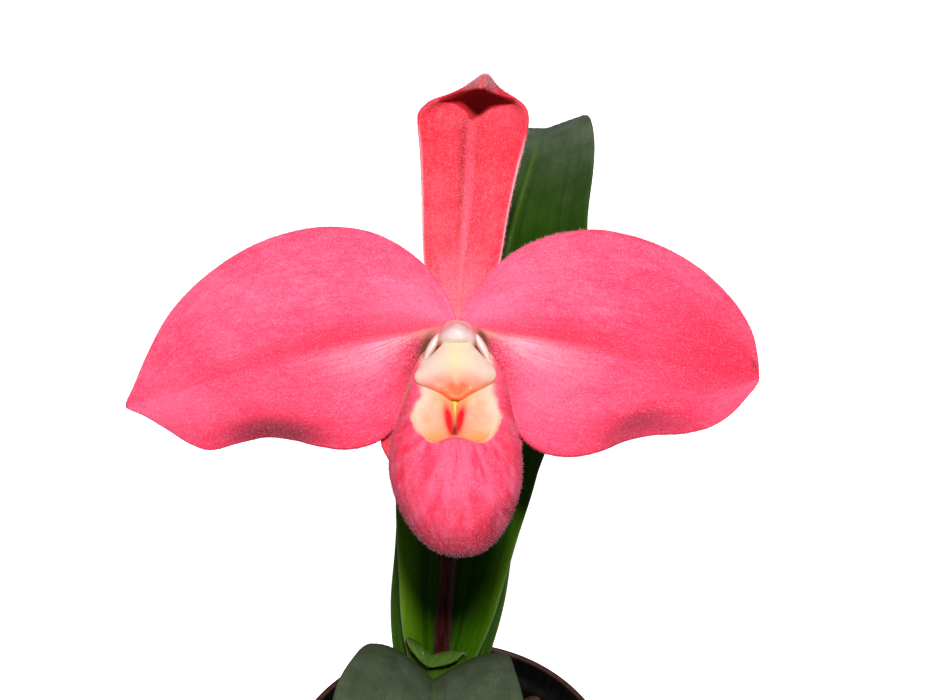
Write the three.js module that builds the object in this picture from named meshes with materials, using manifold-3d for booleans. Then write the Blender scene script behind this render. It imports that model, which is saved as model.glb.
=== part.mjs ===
// Phragmipedium orchid in flower, growing in a small black nursery pot.
//
// Units are millimetres and +Z is up. The origin is the centre of the pot's underside, and the
// flower faces -Y, tipped upward. Every piece is one closed solid. Pieces that rest on each
// other keep the small gap SEAT_GAP between them.

import * as THREE from 'three';
import { mergeVertices } from 'three/addons/utils/BufferGeometryUtils.js';
import Module from 'manifold-3d';

const wasm = await Module();
wasm.setup();

// ---------------------------------------------------------------- driving dimensions

const SEAT_GAP = 0.3;

// Pot: outer radii and heights.
const POT_BASE_RADIUS = 23;
const POT_TOP_RADIUS = 30.6;
const POT_RIM_RADIUS = 32.5;
const POT_HEIGHT = 58;
const POT_RIM_DEPTH = 6.5;
const POT_WALL = 1.3;
const POT_FLOOR = 2;
const DRAIN_SLOTS = 8;
const DRAIN_SLOT_WIDTH = 3;
const DRAIN_SLOT_LENGTH = 9;
const DRAIN_SLOT_RADIUS = 15;

// Mix, crown and stem.
const MIX_TOP = 50;
const CROWN_TOP = 54;
const CROWN_X = -2.8;
const CROWN_Y = 0.5;
const CROWN_RADII = [5.5, 8.5, 6.5];
const ROOT_RADIUS = 1.3;
const STEM_RADIUS = 1.4;

// Flower: its centre, and how far it is tipped up from facing straight forward.
const FLOWER_CENTRE = [2.05, -18, 188.3];
const FLOWER_TILT = THREE.MathUtils.degToRad(42);

// Thickness of the blades.
const PETAL_THICKNESS = 1;
const SEPAL_THICKNESS = 1;
const LEAF_THICKNESS = 1.2;
const BRACT_THICKNESS = 0.7;
const SHIELD_THICKNESS = 1.1;
const POUCH_WALL = 0.9;

// ---------------------------------------------------------------- shape helpers

const vec = (p) => new THREE.Vector3(...p);

const curveThrough = (points) => new THREE.CatmullRomCurve3(points.map(vec), false, 'centripetal');

// Smooth value at t through [t, value] knots, level before the first and after the last.
function profile(knots, t) {
  const last = knots.length - 1;
  if (t <= knots[0][0]) return knots[0][1];
  if (t >= knots[last][0]) return knots[last][1];
  const i = knots.findIndex((knot) => knot[0] > t) - 1;
  const slope = (k) => {
    const a = knots[Math.max(k - 1, 0)];
    const b = knots[Math.min(k + 1, last)];
    return (b[1] - a[1]) / (b[0] - a[0]);
  };
  const step = knots[i + 1][0] - knots[i][0];
  const f = (t - knots[i][0]) / step;
  const rise = knots[i + 1][1] - knots[i][1];
  const bendIn = slope(i) * step - rise;
  const bendOut = rise - slope(i + 1) * step;
  return knots[i][1] + f * rise + f * (1 - f) * ((1 - f) * bendIn + f * bendOut);
}

// Geometry from points and triangles, with its faces turned outward.
function solidGeometry(points, triangles) {
  let volume = 0;
  for (const [a, b, c] of triangles) {
    volume += points[a].dot(new THREE.Vector3().crossVectors(points[b], points[c]));
  }
  const index = triangles.flatMap(([a, b, c]) => (volume > 0 ? [a, b, c] : [a, c, b]));
  const geometry = new THREE.BufferGeometry();
  geometry.setFromPoints(points);
  geometry.setIndex(index);
  return geometry;
}

// Two triangles for each cell of a strip between two rows of point numbers.
function strip(rowA, rowB) {
  const triangles = [];
  for (let j = 0; j + 1 < rowA.length; j += 1) {
    triangles.push([rowA[j], rowA[j + 1], rowB[j]]);
    triangles.push([rowA[j + 1], rowB[j + 1], rowB[j]]);
  }
  return triangles;
}

// Solid sheet around surface(t, s): t runs 0..1 from foot to tip, s runs -1..1 across.
function sheet(surface, rows, columns, thickness) {
  const front = [];
  const back = [];
  const points = [];
  const nudge = 1e-3;
  for (let i = 0; i <= rows; i += 1) {
    front.push([]);
    back.push([]);
    for (let j = 0; j <= columns; j += 1) {
      const t = i / rows;
      const s = (2 * j) / columns - 1;
      const along = surface(Math.min(t + nudge, 1), s).sub(surface(Math.max(t - nudge, 0), s));
      const across = surface(t, Math.min(s + nudge, 1)).sub(surface(t, Math.max(s - nudge, -1)));
      const offset = along.cross(across).setLength(thickness / 2);
      front[i].push(points.push(surface(t, s).add(offset)) - 1);
      back[i].push(points.push(surface(t, s).sub(offset)) - 1);
    }
  }
  const triangles = [];
  for (let i = 0; i < rows; i += 1) {
    triangles.push(...strip(front[i + 1], front[i]), ...strip(back[i], back[i + 1]));
  }
  const edge = (rowsOfPoints, j) => rowsOfPoints.map((row) => row[j]);
  triangles.push(...strip(front[0], back[0]), ...strip(back[rows], front[rows]));
  triangles.push(...strip(edge(back, 0), edge(front, 0)));
  triangles.push(...strip(edge(front, columns), edge(back, columns)));
  return solidGeometry(points, triangles);
}

// Solid through a list of rings with equal point counts, closed by a fan at each end.
function loft(rings) {
  const sides = rings[0].length;
  const points = rings.flat();
  const ringRow = (i) => [...Array(sides + 1).keys()].map((k) => i * sides + (k % sides));
  const triangles = [];
  for (let i = 0; i + 1 < rings.length; i += 1) {
    triangles.push(...strip(ringRow(i), ringRow(i + 1)));
  }
  const cap = (ring, row, flip) => {
    const centre = ring.reduce((sum, p) => sum.add(p), new THREE.Vector3()).divideScalar(sides);
    const hub = points.push(centre) - 1;
    for (let k = 0; k < sides; k += 1) {
      triangles.push(flip ? [hub, row[k + 1], row[k]] : [hub, row[k], row[k + 1]]);
    }
  };
  cap(rings[0], ringRow(0), true);
  cap(rings[rings.length - 1], ringRow(rings.length - 1), false);
  return solidGeometry(points, triangles);
}

// Round body along a curve, its radius given by radiusAt(t).
function taperedTube(curve, radiusAt, steps, sides) {
  const frames = curve.computeFrenetFrames(steps, false);
  const rings = frames.normals.map((normal, i) => {
    const t = i / steps;
    const centre = curve.getPointAt(t);
    return [...Array(sides).keys()].map((k) => {
      const angle = (2 * Math.PI * k) / sides;
      return centre.clone()
        .addScaledVector(normal, radiusAt(t) * Math.cos(angle))
        .addScaledVector(frames.binormals[i], radiusAt(t) * Math.sin(angle));
    });
  });
  return loft(rings);
}

// Body turned about Z from [radius, height] points.
function turned(outline, segments) {
  const geometry = new THREE.LatheGeometry(outline.map(([r, z]) => new THREE.Vector2(r, z)), segments);
  geometry.rotateX(Math.PI / 2);
  return geometry;
}

function toManifold(geometry) {
  const bare = geometry.clone();
  bare.deleteAttribute('normal');
  bare.deleteAttribute('uv');
  const merged = mergeVertices(bare, 1e-4);
  return new wasm.Manifold(new wasm.Mesh({
    numProp: 3,
    vertProperties: merged.attributes.position.array,
    triVerts: new Uint32Array(merged.index.array),
  }));
}

function fromManifold(solid) {
  const mesh = solid.getMesh();
  const geometry = new THREE.BufferGeometry();
  geometry.setAttribute('position', new THREE.BufferAttribute(mesh.vertProperties, 3));
  geometry.setIndex(new THREE.BufferAttribute(mesh.triVerts, 1));
  return geometry;
}

const joined = (geometries) => geometries.map(toManifold).reduce((sum, solid) => sum.add(solid));

// ---------------------------------------------------------------- materials

function plantMaterial(color, roughness) {
  return new THREE.MeshStandardMaterial({ color, roughness, metalness: 0 });
}

function addMesh(group, name, geometry, color, roughness) {
  const mesh = new THREE.Mesh(geometry, plantMaterial(color, roughness));
  mesh.name = name;
  group.add(mesh);
}

const POT_BLACK = 0x141414;
const MIX_BROWN = 0x3a2a20;
const BARK_BROWN = 0x6b4030;
const CROWN_GREEN = 0x6d7a45;
const LEAF_DARK = 0x2c4a22;
const LEAF_YOUNG = 0x4c7a24;
const STEM_PURPLE = 0x3a1420;
const OVARY_BROWN = 0x4a3a2a;
const FLOWER_PINK = 0xe8456a;
const SEPAL_PINK = 0xe04a68;
const COLUMN_CREAM = 0xf4d8d0;
const SHIELD_YELLOW = 0xf2c48a;
const ANTHER_WHITE = 0xf6f2ec;

// ---------------------------------------------------------------- pot

function potGeometry() {
  const rimBottom = POT_HEIGHT - POT_RIM_DEPTH;
  const body = turned([
    [0, 0],
    [POT_BASE_RADIUS, 0],
    [POT_TOP_RADIUS, rimBottom],
    [POT_RIM_RADIUS - 0.6, rimBottom],
    [POT_RIM_RADIUS, POT_HEIGHT - 1],
    [POT_RIM_RADIUS - 0.6, POT_HEIGHT],
    [POT_RIM_RADIUS - POT_WALL, POT_HEIGHT],
    [POT_RIM_RADIUS - POT_WALL - 0.6, rimBottom + 1.5],
    [POT_TOP_RADIUS - POT_WALL, rimBottom],
    [POT_BASE_RADIUS - POT_WALL, POT_FLOOR],
    [0, POT_FLOOR],
  ], 40);
  const slots = [];
  for (let k = 0; k < DRAIN_SLOTS; k += 1) {
    const slot = new THREE.BoxGeometry(DRAIN_SLOT_LENGTH, DRAIN_SLOT_WIDTH, 3 * POT_FLOOR);
    slot.translate(DRAIN_SLOT_RADIUS, 0, POT_FLOOR / 2);
    slot.rotateZ((2 * Math.PI * (k + 0.5)) / DRAIN_SLOTS);
    slots.push(slot);
  }
  return fromManifold(toManifold(body).subtract(joined(slots)));
}

// ---------------------------------------------------------------- crown, roots and mix

// Roots leave the crown below the mix's surface: [heading in degrees, reach, depth].
const ROOT_TOP = MIX_TOP - 5;
const ROOTS = [
  [15, 19, 28],
  [88, 13, 36],
  [160, 17, 26],
  [235, 14, 38],
  [305, 18, 30],
];

// The crown with its roots; swell makes the slightly larger body whose place the mix leaves free.
function crownSolid(swell) {
  const crown = new THREE.SphereGeometry(1, 16, 10);
  crown.rotateX(Math.PI / 2);
  crown.scale(...CROWN_RADII.map((radius) => radius + swell));
  crown.translate(CROWN_X, CROWN_Y, CROWN_TOP - CROWN_RADII[2]);
  const roots = ROOTS.map(([heading, reach, depth]) => {
    const angle = THREE.MathUtils.degToRad(heading);
    const at = (share, drop) => [
      CROWN_X + reach * share * Math.cos(angle),
      CROWN_Y + reach * share * Math.sin(angle),
      ROOT_TOP - depth * drop,
    ];
    const curve = curveThrough([at(0, 0), at(0.55, 0.15), at(0.9, 0.55), at(1, 1 + swell / depth)]);
    return taperedTube(curve, (t) => ROOT_RADIUS * (1 - 0.35 * t) + swell, 8, 7);
  });
  return joined([crown, ...roots]);
}

function mixGeometry() {
  const wallLean = (POT_TOP_RADIUS - POT_BASE_RADIUS) / (POT_HEIGHT - POT_RIM_DEPTH);
  const inside = (z) => POT_BASE_RADIUS - POT_WALL - SEAT_GAP + wallLean * (z - POT_FLOOR);
  const bottom = POT_FLOOR + SEAT_GAP;
  const outline = [[0, bottom], [inside(bottom), bottom], [inside(MIX_TOP), MIX_TOP], [0, MIX_TOP]];
  const body = turned(outline, 32);
  return fromManifold(toManifold(body).subtract(crownSolid(SEAT_GAP)));
}

// Bark chips lying on the mix: [heading in degrees, distance from the pot's axis, length, turn].
const BARK_CHIPS = [
  [-38, 22, 9, 20],
  [-5, 24, 8, 70],
  [28, 21, 10, -30],
  [62, 23, 8, 15],
  [98, 20, 9, -10],
  [128, 24, 8, 50],
  [160, 19, 10, 80],
  [196, 23, 8, -20],
  [228, 22, 9, 35],
  [262, 23, 9, -55],
  [292, 20, 7, 5],
];
const CHIP_THICKNESS = 2.6;

function chipGeometry([heading, distance, length, turn]) {
  const half = length / 2;
  const outline = new THREE.Shape([
    new THREE.Vector2(-half, -0.32 * half),
    new THREE.Vector2(-0.2 * half, -0.62 * half),
    new THREE.Vector2(0.9 * half, -0.4 * half),
    new THREE.Vector2(half, 0.25 * half),
    new THREE.Vector2(0.1 * half, 0.6 * half),
    new THREE.Vector2(-0.85 * half, 0.42 * half),
  ]);
  const chip = new THREE.ExtrudeGeometry(outline, { depth: CHIP_THICKNESS, bevelEnabled: false });
  chip.rotateZ(THREE.MathUtils.degToRad(turn));
  const angle = THREE.MathUtils.degToRad(heading);
  chip.translate(distance * Math.cos(angle), distance * Math.sin(angle), MIX_TOP + SEAT_GAP);
  return chip;
}

// ---------------------------------------------------------------- leaves

// Strap leaf along a spine. halfWidth, left, fold and twist are [t, value] knots; left is the left
// half's width as a share of halfWidth, fold is the angle in degrees that each half rises from flat,
// toward the side that `upper` points to at the foot, and margins is the share of that rise that is
// lost again toward the margins.
function leafSurface({
  spine, halfWidth, fold, upper, left = [[0, 1]], twist = [[0, 0]], margins = 0,
}) {
  const curve = curveThrough(spine);
  return (t, s) => {
    const tangent = curve.getTangentAt(t);
    const side = new THREE.Vector3(1, 0, 0);
    side.addScaledVector(tangent, -side.dot(tangent)).normalize();
    side.applyAxisAngle(tangent, THREE.MathUtils.degToRad(profile(twist, t)));
    const normal = new THREE.Vector3().crossVectors(side, tangent).multiplyScalar(upper);
    const angle = THREE.MathUtils.degToRad(profile(fold, t));
    const reach = profile(halfWidth, t) * Math.abs(s) * (s < 0 ? profile(left, t) : 1);
    const lift = (Math.sqrt(reach * reach + 0.25) - 0.5) * (1 - margins * s * s);
    return curve.getPointAt(t)
      .addScaledVector(side, reach * Math.cos(angle) * Math.sign(s))
      .addScaledVector(normal, lift * Math.sin(angle));
  };
}

const LEAVES = {
  leaf_back_tall: {
    spine: [
      [-2.8, 5, CROWN_TOP - 0.3], [-1.8, 6.5, 75], [0.5, 8.5, 102], [3.6, 13, 132], [7.6, 21, 156],
      [11.2, 30, 169.3], [14.4, 40, 174.3], [16.2, 49, 173.6], [18, 58, 168], [19.6, 66, 158],
    ],
    halfWidth: [
      [0, 4.6], [0.14, 5.3], [0.27, 9.3], [0.36, 11], [0.46, 13.6],
      [0.55, 15.3], [0.66, 16.4], [0.8, 10.8], [0.93, 6], [1, 1],
    ],
    left: [[0, 1], [0.1, 1.14], [0.2, 1.2], [0.38, 1.15], [0.5, 1]],
    fold: [[0, 48], [0.15, 44], [0.35, 34], [0.55, 24], [0.75, 17], [1, 10]],
    twist: [[0, 0], [0.5, 0], [0.75, -9], [1, -9]],
    upper: 1,
    color: LEAF_DARK,
  },
  leaf_back_outer: {
    spine: [
      [-2.8, 7.6, CROWN_TOP - 1.6], [-2, 10, 74], [-0.3, 13, 96], [1.6, 19, 117], [4.6, 30, 133],
      [8.5, 44, 140], [12, 58, 139], [15, 72, 130],
    ],
    halfWidth: [[0, 6], [0.15, 8.8], [0.3, 11.2], [0.5, 11.6], [0.75, 10.8], [0.92, 7], [1, 1]],
    fold: [[0, 44], [0.2, 36], [0.35, 28], [0.6, 20], [1, 10]],
    upper: 1,
    color: LEAF_DARK,
  },
  leaf_front_arching: {
    spine: [
      [-2.8, -6.4, CROWN_TOP - 1.4], [-2.8, -6.8, 70], [-2.8, -7.2, 85], [-2.7, -9.8, 97], [-2.4, -17, 105.5],
      [-2, -31, 109], [-1.5, -48, 104], [-1, -64, 92], [-0.6, -78, 75],
    ],
    halfWidth: [
      [0, 6], [0.14, 8], [0.28, 13.6], [0.4, 17.2], [0.5, 17.6],
      [0.6, 17.2], [0.8, 13], [0.93, 8], [1, 1],
    ],
    left: [[0, 1], [0.25, 0.9], [0.37, 0.84], [0.45, 1.02], [0.52, 1.17], [0.65, 1.15], [1, 1]],
    fold: [[0, 46], [0.2, 44], [0.38, 40], [0.7, 24], [1, 10]],
    twist: [[0, 0], [0.3, -6.5], [0.5, -5], [1, -4]],
    margins: 0.4,
    upper: -1,
    color: LEAF_DARK,
  },
  leaf_inner_young: {
    spine: [
      [-2.8, -3.6, CROWN_TOP], [-2.8, -3.4, 72], [-2.7, -3.6, 88], [-2.7, -4.2, 96], [-3, -5.6, 99.6],
      [-3.4, -7.8, 99.8],
    ],
    halfWidth: [[0, 3.6], [0.3, 4.6], [0.7, 6.6], [0.88, 7.4], [0.96, 5.6], [1, 0.8]],
    fold: [[0, 42], [0.5, 42], [0.8, 44], [1, 30]],
    twist: [[0, 0], [0.4, 0], [0.85, -14]],
    margins: 0.4,
    upper: -1,
    color: LEAF_YOUNG,
  },
};

function leafGeometry(leaf) {
  return sheet(leafSurface(leaf), 20, 8, LEAF_THICKNESS);
}

// ---------------------------------------------------------------- stem, bract and ovary

// Points of the flower's own frame turned into the plant's frame.
const flowerFrame = new THREE.Matrix4().makeRotationX(Math.PI / 2 - FLOWER_TILT);
flowerFrame.setPosition(vec(FLOWER_CENTRE));
const fromFlower = (u, v, w) => new THREE.Vector3(u, v, w).applyMatrix4(flowerFrame).toArray();

const OVARY_TOP = -4.2;
const OVARY_FOOT = [1.6, 3.2, 165];

const stemCurve = curveThrough([
  [CROWN_X, 1, CROWN_TOP + SEAT_GAP], [-1.9, 1, 75], [-1.2, 0.8, 95], [0.1, 0.8, 120],
  [1, 1.4, 142], [1.5, 2.6, 158], OVARY_FOOT,
]);

const ovaryCurve = curveThrough([
  [1.61, 2.65, 166], fromFlower(-0.3, 0, -21), fromFlower(-0.1, 0, -13), fromFlower(0, 0, OVARY_TOP),
]);

function stemGeometry() {
  const section = new THREE.Shape();
  section.absarc(0, 0, STEM_RADIUS, 0, 2 * Math.PI);
  return new THREE.ExtrudeGeometry(section, { steps: 24, curveSegments: 5, extrudePath: stemCurve });
}

function ovaryGeometry() {
  const radius = [[0, 1.4], [0.15, 1.7], [0.5, 2.1], [0.85, 2], [1, 2.2]];
  return taperedTube(ovaryCurve, (t) => profile(radius, t), 12, 12);
}

// Bract wrapped around the stem's top, open toward the front and drawn out to a point.
function bractSurface(t, s) {
  const centre = stemCurve.getPointAt(0.84 + 0.16 * t);
  const radius = STEM_RADIUS + SEAT_GAP + 0.45 + 1.6 * t;
  const angle = Math.PI / 2 + s * profile([[0, 2.5], [0.5, 1.7], [0.85, 0.8], [1, 0.15]], t);
  return centre.add(new THREE.Vector3(radius * Math.cos(angle), radius * Math.sin(angle), 7 * t * t));
}

// ---------------------------------------------------------------- petals and sepals

// Blade between a left margin, a midrib and a right margin, all running from foot to tip in the
// flower's frame: u to the right, v up, w toward the viewer. puff is how far each half swells
// forward between midrib and margin: [t, left, right].
function bladeSurface({ left, midrib, right, puff }) {
  const margins = { left: curveThrough(left), right: curveThrough(right) };
  const middle = curveThrough(midrib);
  const puffs = { left: puff.map(([t, l]) => [t, l]), right: puff.map(([t, , r]) => [t, r]) };
  return (t, s) => {
    const side = s < 0 ? 'left' : 'right';
    const reach = Math.abs(s);
    const point = middle.getPointAt(t).lerp(margins[side].getPointAt(t), reach);
    point.z += profile(puffs[side], t) * Math.sin(Math.PI * reach);
    return point;
  };
}

const PETAL_LEFT = {
  left: [
    [-3.2, -0.8, -1.8], [-4.9, -3.4, -1.8], [-7.6, -10, -2.6], [-9, -14, -2.8], [-11.5, -16.2, -2.6],
    [-15.5, -17.3, -2], [-19.5, -17, -2.4], [-23.6, -16.1, -3.6], [-27.7, -15.7, -4.4],
    [-31.7, -16.5, -4.2], [-35.7, -17.5, -4], [-38.7, -16.6, -4.8], [-42.1, -14.6, -5.8],
    [-45.6, -12.6, -6.8], [-48.4, -11.5, -7.4],
  ],
  midrib: [
    [-2, 0.9, -2], [-5.5, -0.3, -2.4], [-10.5, -1.7, -2.2], [-18.3, -3.4, -1.8], [-25.5, -5, -2],
    [-32.7, -6.9, -3], [-40.2, -9.1, -5], [-48.5, -11.1, -7.4],
  ],
  right: [
    [-0.5, 2.8, -1.6], [-2.6, 5.9, -1.4], [-5.4, 8.8, -1], [-9.4, 12.4, -0.6], [-13.4, 14, -0.6],
    [-19.4, 14.5, -1], [-25.4, 13.4, -1.6], [-31.5, 10.8, -2.4], [-37.7, 6.4, -3.6],
    [-41.9, 1.8, -4.6], [-45.1, -3.8, -5.8], [-47.3, -8.7, -6.8], [-48.4, -10.7, -7.2],
  ],
  puff: [[0, 0, 0], [0.15, 0.8, 0.8], [0.4, 1.4, 2], [0.7, 1.4, 1.8], [1, 0, 0]],
};

const PETAL_RIGHT = {
  left: [
    [0.5, 2.8, -1.6], [3.1, 6.1, -1.2], [6, 9.4, -0.8], [8.8, 11.4, -0.6], [12.4, 13, -0.5],
    [15.9, 13.8, -0.6], [19.9, 14.1, -1], [24.6, 13.3, -1.6], [28.9, 11.8, -2.4], [33.3, 9.5, -3.2],
    [37, 6.5, -4], [40.5, 3.1, -5], [42.6, -0.5, -5.8], [43.4, -3.7, -6.2], [43.7, -6.6, -6.6],
  ],
  midrib: [
    [1.8, 0.9, -2], [4.6, -0.4, -2.4], [10.3, -1.7, -2.2], [18.9, -3.3, -1.8], [26, -4.6, -2.2],
    [34.8, -6.1, -4], [43.9, -7, -6.8],
  ],
  right: [
    [2.9, -0.8, -1.8], [4.3, -3.1, -1.8], [6, -8.9, -2.6], [7.2, -12.3, -2.8], [9.4, -15.9, -2.6],
    [12, -17.7, -2], [16, -18.4, -2], [20.1, -17.7, -2.6], [24.2, -16.2, -3.8], [28.3, -15.4, -4.4],
    [32.3, -15.2, -4.4], [36.4, -14.2, -4.8], [39.4, -12.4, -5.4], [41.6, -10.2, -6],
    [43.1, -8.5, -6.4], [43.8, -7.4, -6.8],
  ],
  puff: [[0, 0, 0], [0.15, 0.8, 0.8], [0.4, 2, 1.4], [0.7, 1.8, 1.4], [1, 0, 0]],
};

// The top of the dorsal sepal folds forward into a hood whose rim ends at the blade's tip.
const DORSAL_SEPAL = {
  left: [
    [-1.6, 3, -3.4], [-4.2, 6.4, -3.8], [-4.9, 9.6, -4], [-5.1, 18.5, -4], [-5.3, 25.5, -2.5],
    [-5.7, 29.5, 0], [-5.4, 30.9, 1.5], [-3.9, 32.1, 3], [-1.9, 32.2, 4.2], [1, 32.4, 5], [3.6, 33.2, 5.4],
  ],
  midrib: [
    [0, 2.9, -3.4], [0.1, 12.7, -4.4], [0.7, 21.4, -4.2], [1.7, 28.4, -2.8], [2.6, 32, -1.2],
    [3.4, 34.6, 0.8], [3.7, 35.4, 2.6], [3.9, 34.6, 4.4], [3.9, 33.4, 5.4],
  ],
  right: [
    [1.6, 3, -3.4], [4.6, 6.4, -3.8], [6, 9.6, -4], [7.2, 16.3, -4], [8.6, 22.7, -3], [9.7, 27.5, -1],
    [10, 30.1, 1], [9.7, 31.5, 2.5], [8, 31.8, 4], [5.9, 32.6, 5], [4.2, 33.2, 5.4],
  ],
  puff: [[0, 0, 0], [0.3, -0.5, -0.5], [0.7, -0.8, -0.8], [1, 0, 0]],
};

const SYNSEPAL = {
  left: [
    [-2, -2.6, -3.6], [-6.5, -7, -4], [-9.8, -12, -4.2], [-11, -16.5, -4.4], [-9.6, -20.5, -4.6],
    [-6.4, -24.5, -4.6], [-2.6, -28, -4.4], [-0.5, -29.2, -4.2],
  ],
  midrib: [[0, -2.6, -3.6], [0, -10, -5], [-0.2, -20, -5.4], [-0.2, -29.4, -4.2]],
  right: [
    [2, -2.6, -3.6], [6, -7, -4], [8.8, -12, -4.2], [9.9, -16.3, -4.4], [8.8, -20.5, -4.6],
    [5.8, -24.5, -4.6], [2.2, -28, -4.4], [0.2, -29.2, -4.2],
  ],
  puff: [[0, 0, 0], [0.5, -0.6, -0.6], [1, 0, 0]],
};

// ---------------------------------------------------------------- lip

// The pouch is a stack of tilted oval rings, from its toe up the outside, over the mouth's rim,
// down the infolded side lobes and back along the inside to the toe. Each ring is given by its
// frontmost and rearmost points in (v, w), its half-width, and how pinched its front is.
const POUCH_OUTSIDE = [
  { front: [-31.5, 8], back: [-31.5, 6.6], halfWidth: 1.4 },
  { front: [-30.6, 10.6], back: [-31, 4], halfWidth: 4 },
  { front: [-28.6, 12.8], back: [-29, 1.2], halfWidth: 6.4 },
  { front: [-25.4, 14.4], back: [-25.4, -0.8], halfWidth: 8.3 },
  { front: [-21.6, 15], back: [-20, -2], halfWidth: 9.2 },
  { front: [-18.6, 14.4], back: [-13.6, -2.4], halfWidth: 9 },
  { front: [-16.6, 13.4], back: [-8, -2.2], halfWidth: 8 },
  { front: [-15.3, 12.2], back: [-3.2, -1.4], halfWidth: 6.6 },
];
const POUCH_LOBES = [
  { front: [-14.7, 11.6], back: [-2.9, -0.9], halfWidth: 5.6, lift: 0.9 },
  { front: [-14, 10.8], back: [-3.4, 0.2], halfWidth: 4.3, lift: 1.1, pinch: 0.5 },
  { front: [-13.4, 9.8], back: [-3.6, 0.5], halfWidth: 3.3, lift: 0.2, pinch: 0.9 },
];
const POUCH_UNDERSIDE = [
  { front: [-13.6, 8.9], back: [-3.8, -0.1], halfWidth: 3.5, lift: -0.8, pinch: 0.8 },
  { front: [-14.6, 10.2], back: [-4, -0.3], halfWidth: 4.8, lift: -0.2, pinch: 0.3 },
];
const POUCH_SIDES = 24;
const POUCH_CENTRE_U = -0.35;

function pouchRing({ front, back, halfWidth, lift = 0, pinch = 0 }) {
  return [...Array(POUCH_SIDES).keys()].map((k) => {
    const angle = (2 * Math.PI * k) / POUCH_SIDES;
    const toFront = (1 + Math.cos(angle)) / 2;
    const aside = Math.abs(Math.sin(angle));
    return new THREE.Vector3(
      POUCH_CENTRE_U + halfWidth * Math.sin(angle) * (1 - pinch * toFront ** 4),
      back[0] + (front[0] - back[0]) * toFront + lift * aside * 0.6,
      back[1] + (front[1] - back[1]) * toFront + lift * aside,
    );
  });
}

// The inside follows the outside one wall thickness in.
function pouchInside() {
  const lowest = POUCH_OUTSIDE[0].front[0] + POUCH_WALL;
  return POUCH_OUTSIDE.slice(0, -1).reverse().map(({ front, back, halfWidth }) => ({
    front: [Math.max(front[0], lowest), front[1] - POUCH_WALL],
    back: [Math.max(back[0], lowest), back[1] + POUCH_WALL],
    halfWidth: halfWidth - POUCH_WALL,
  }));
}

function lipGeometry() {
  const rings = [...POUCH_OUTSIDE, ...POUCH_LOBES, ...POUCH_UNDERSIDE, ...pouchInside()];
  return loft(rings.map(pouchRing));
}

// ---------------------------------------------------------------- column

function columnGeometry() {
  const column = turned([
    [0, -3.8], [1.6, -3.8], [1.7, 0], [2, 2.2], [2.4, 3.8], [2.35, 5.2], [1.7, 6.4], [0.8, 6.9], [0, 7],
  ], 16);
  column.scale(1, 0.65, 1);
  column.translate(-0.1, -0.7, 0);
  return column;
}

// Shield in front of the column: outline in (u, v), swelling forward and leaning out at its foot.
const SHIELD = {
  left: [
    [-1.6, -2.5, 5.5], [-4.2, -4.2, 5.8], [-5.6, -5.6, 6.3], [-6, -6.9, 7.1], [-5, -8, 7.8],
    [-3, -8.8, 8.5], [-1, -9.9, 9.2],
  ],
  midrib: [[-0.1, -2.5, 5.8], [-0.1, -5, 7], [-0.1, -7.5, 8.3], [-0.1, -10, 9.3]],
  right: [
    [1.4, -2.5, 5.5], [3.8, -4.2, 5.8], [5.2, -5.6, 6.3], [5.2, -6.9, 7.1], [4.2, -7.9, 7.8],
    [2.4, -8.7, 8.5], [0.8, -9.9, 9.2],
  ],
  puff: [[0, 0, 0], [0.4, 0.6, 0.6], [1, 0, 0]],
};

// Anther beside the column; side is -1 on the left and 1 on the right.
function antherGeometry(side) {
  const anther = new THREE.SphereGeometry(1, 12, 8);
  anther.scale(0.95, 1.9, 1.2);
  anther.rotateZ(THREE.MathUtils.degToRad(side * 20));
  anther.translate(side * 3.5 - 0.12, -2.4, 3);
  return anther;
}

// ---------------------------------------------------------------- assembly

const group = new THREE.Group();
const flower = new THREE.Group();
flower.position.set(...FLOWER_CENTRE);
flower.rotation.x = Math.PI / 2 - FLOWER_TILT;
group.add(flower);

addMesh(group, 'pot', potGeometry(), POT_BLACK, 0.35);
addMesh(group, 'potting_mix', mixGeometry(), MIX_BROWN, 0.95);
addMesh(group, 'rhizome', fromManifold(crownSolid(0)), CROWN_GREEN, 0.7);
BARK_CHIPS.forEach((chip, i) => {
  addMesh(group, `bark_chip_${String(i + 1).padStart(2, '0')}`, chipGeometry(chip), BARK_BROWN, 0.9);
});
for (const [name, leaf] of Object.entries(LEAVES)) {
  addMesh(group, name, leafGeometry(leaf), leaf.color, 0.4);
}
addMesh(group, 'flower_stem', stemGeometry(), STEM_PURPLE, 0.6);
addMesh(group, 'floral_bract', sheet(bractSurface, 8, 8, BRACT_THICKNESS), LEAF_YOUNG, 0.5);
addMesh(group, 'ovary', ovaryGeometry(), OVARY_BROWN, 0.6);

function addBlade(name, blade, rows, thickness, color) {
  addMesh(flower, name, sheet(bladeSurface(blade), rows, 8, thickness), color, 0.75);
}
addBlade('dorsal_sepal', DORSAL_SEPAL, 18, SEPAL_THICKNESS, SEPAL_PINK);
addBlade('synsepal', SYNSEPAL, 10, SEPAL_THICKNESS, SEPAL_PINK);
addBlade('petal_left', PETAL_LEFT, 18, PETAL_THICKNESS, FLOWER_PINK);
addBlade('petal_right', PETAL_RIGHT, 18, PETAL_THICKNESS, FLOWER_PINK);
addBlade('staminode', SHIELD, 8, SHIELD_THICKNESS, SHIELD_YELLOW);
addMesh(flower, 'lip', lipGeometry(), FLOWER_PINK, 0.7);
addMesh(flower, 'column', columnGeometry(), COLUMN_CREAM, 0.35);
addMesh(flower, 'anther_left', antherGeometry(-1), ANTHER_WHITE, 0.3);
addMesh(flower, 'anther_right', antherGeometry(1), ANTHER_WHITE, 0.3);

export default group;
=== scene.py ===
"""Looks of a phragmipedium orchid in flower in its pot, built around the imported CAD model.

Shapes are worked out in millimetres in the plant's frame, origin at the centre of the pot's
underside and +Z up, and made into meshes in metres. The flower has a frame of its own:
u to the right, v up and w toward the viewer.
"""

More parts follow.
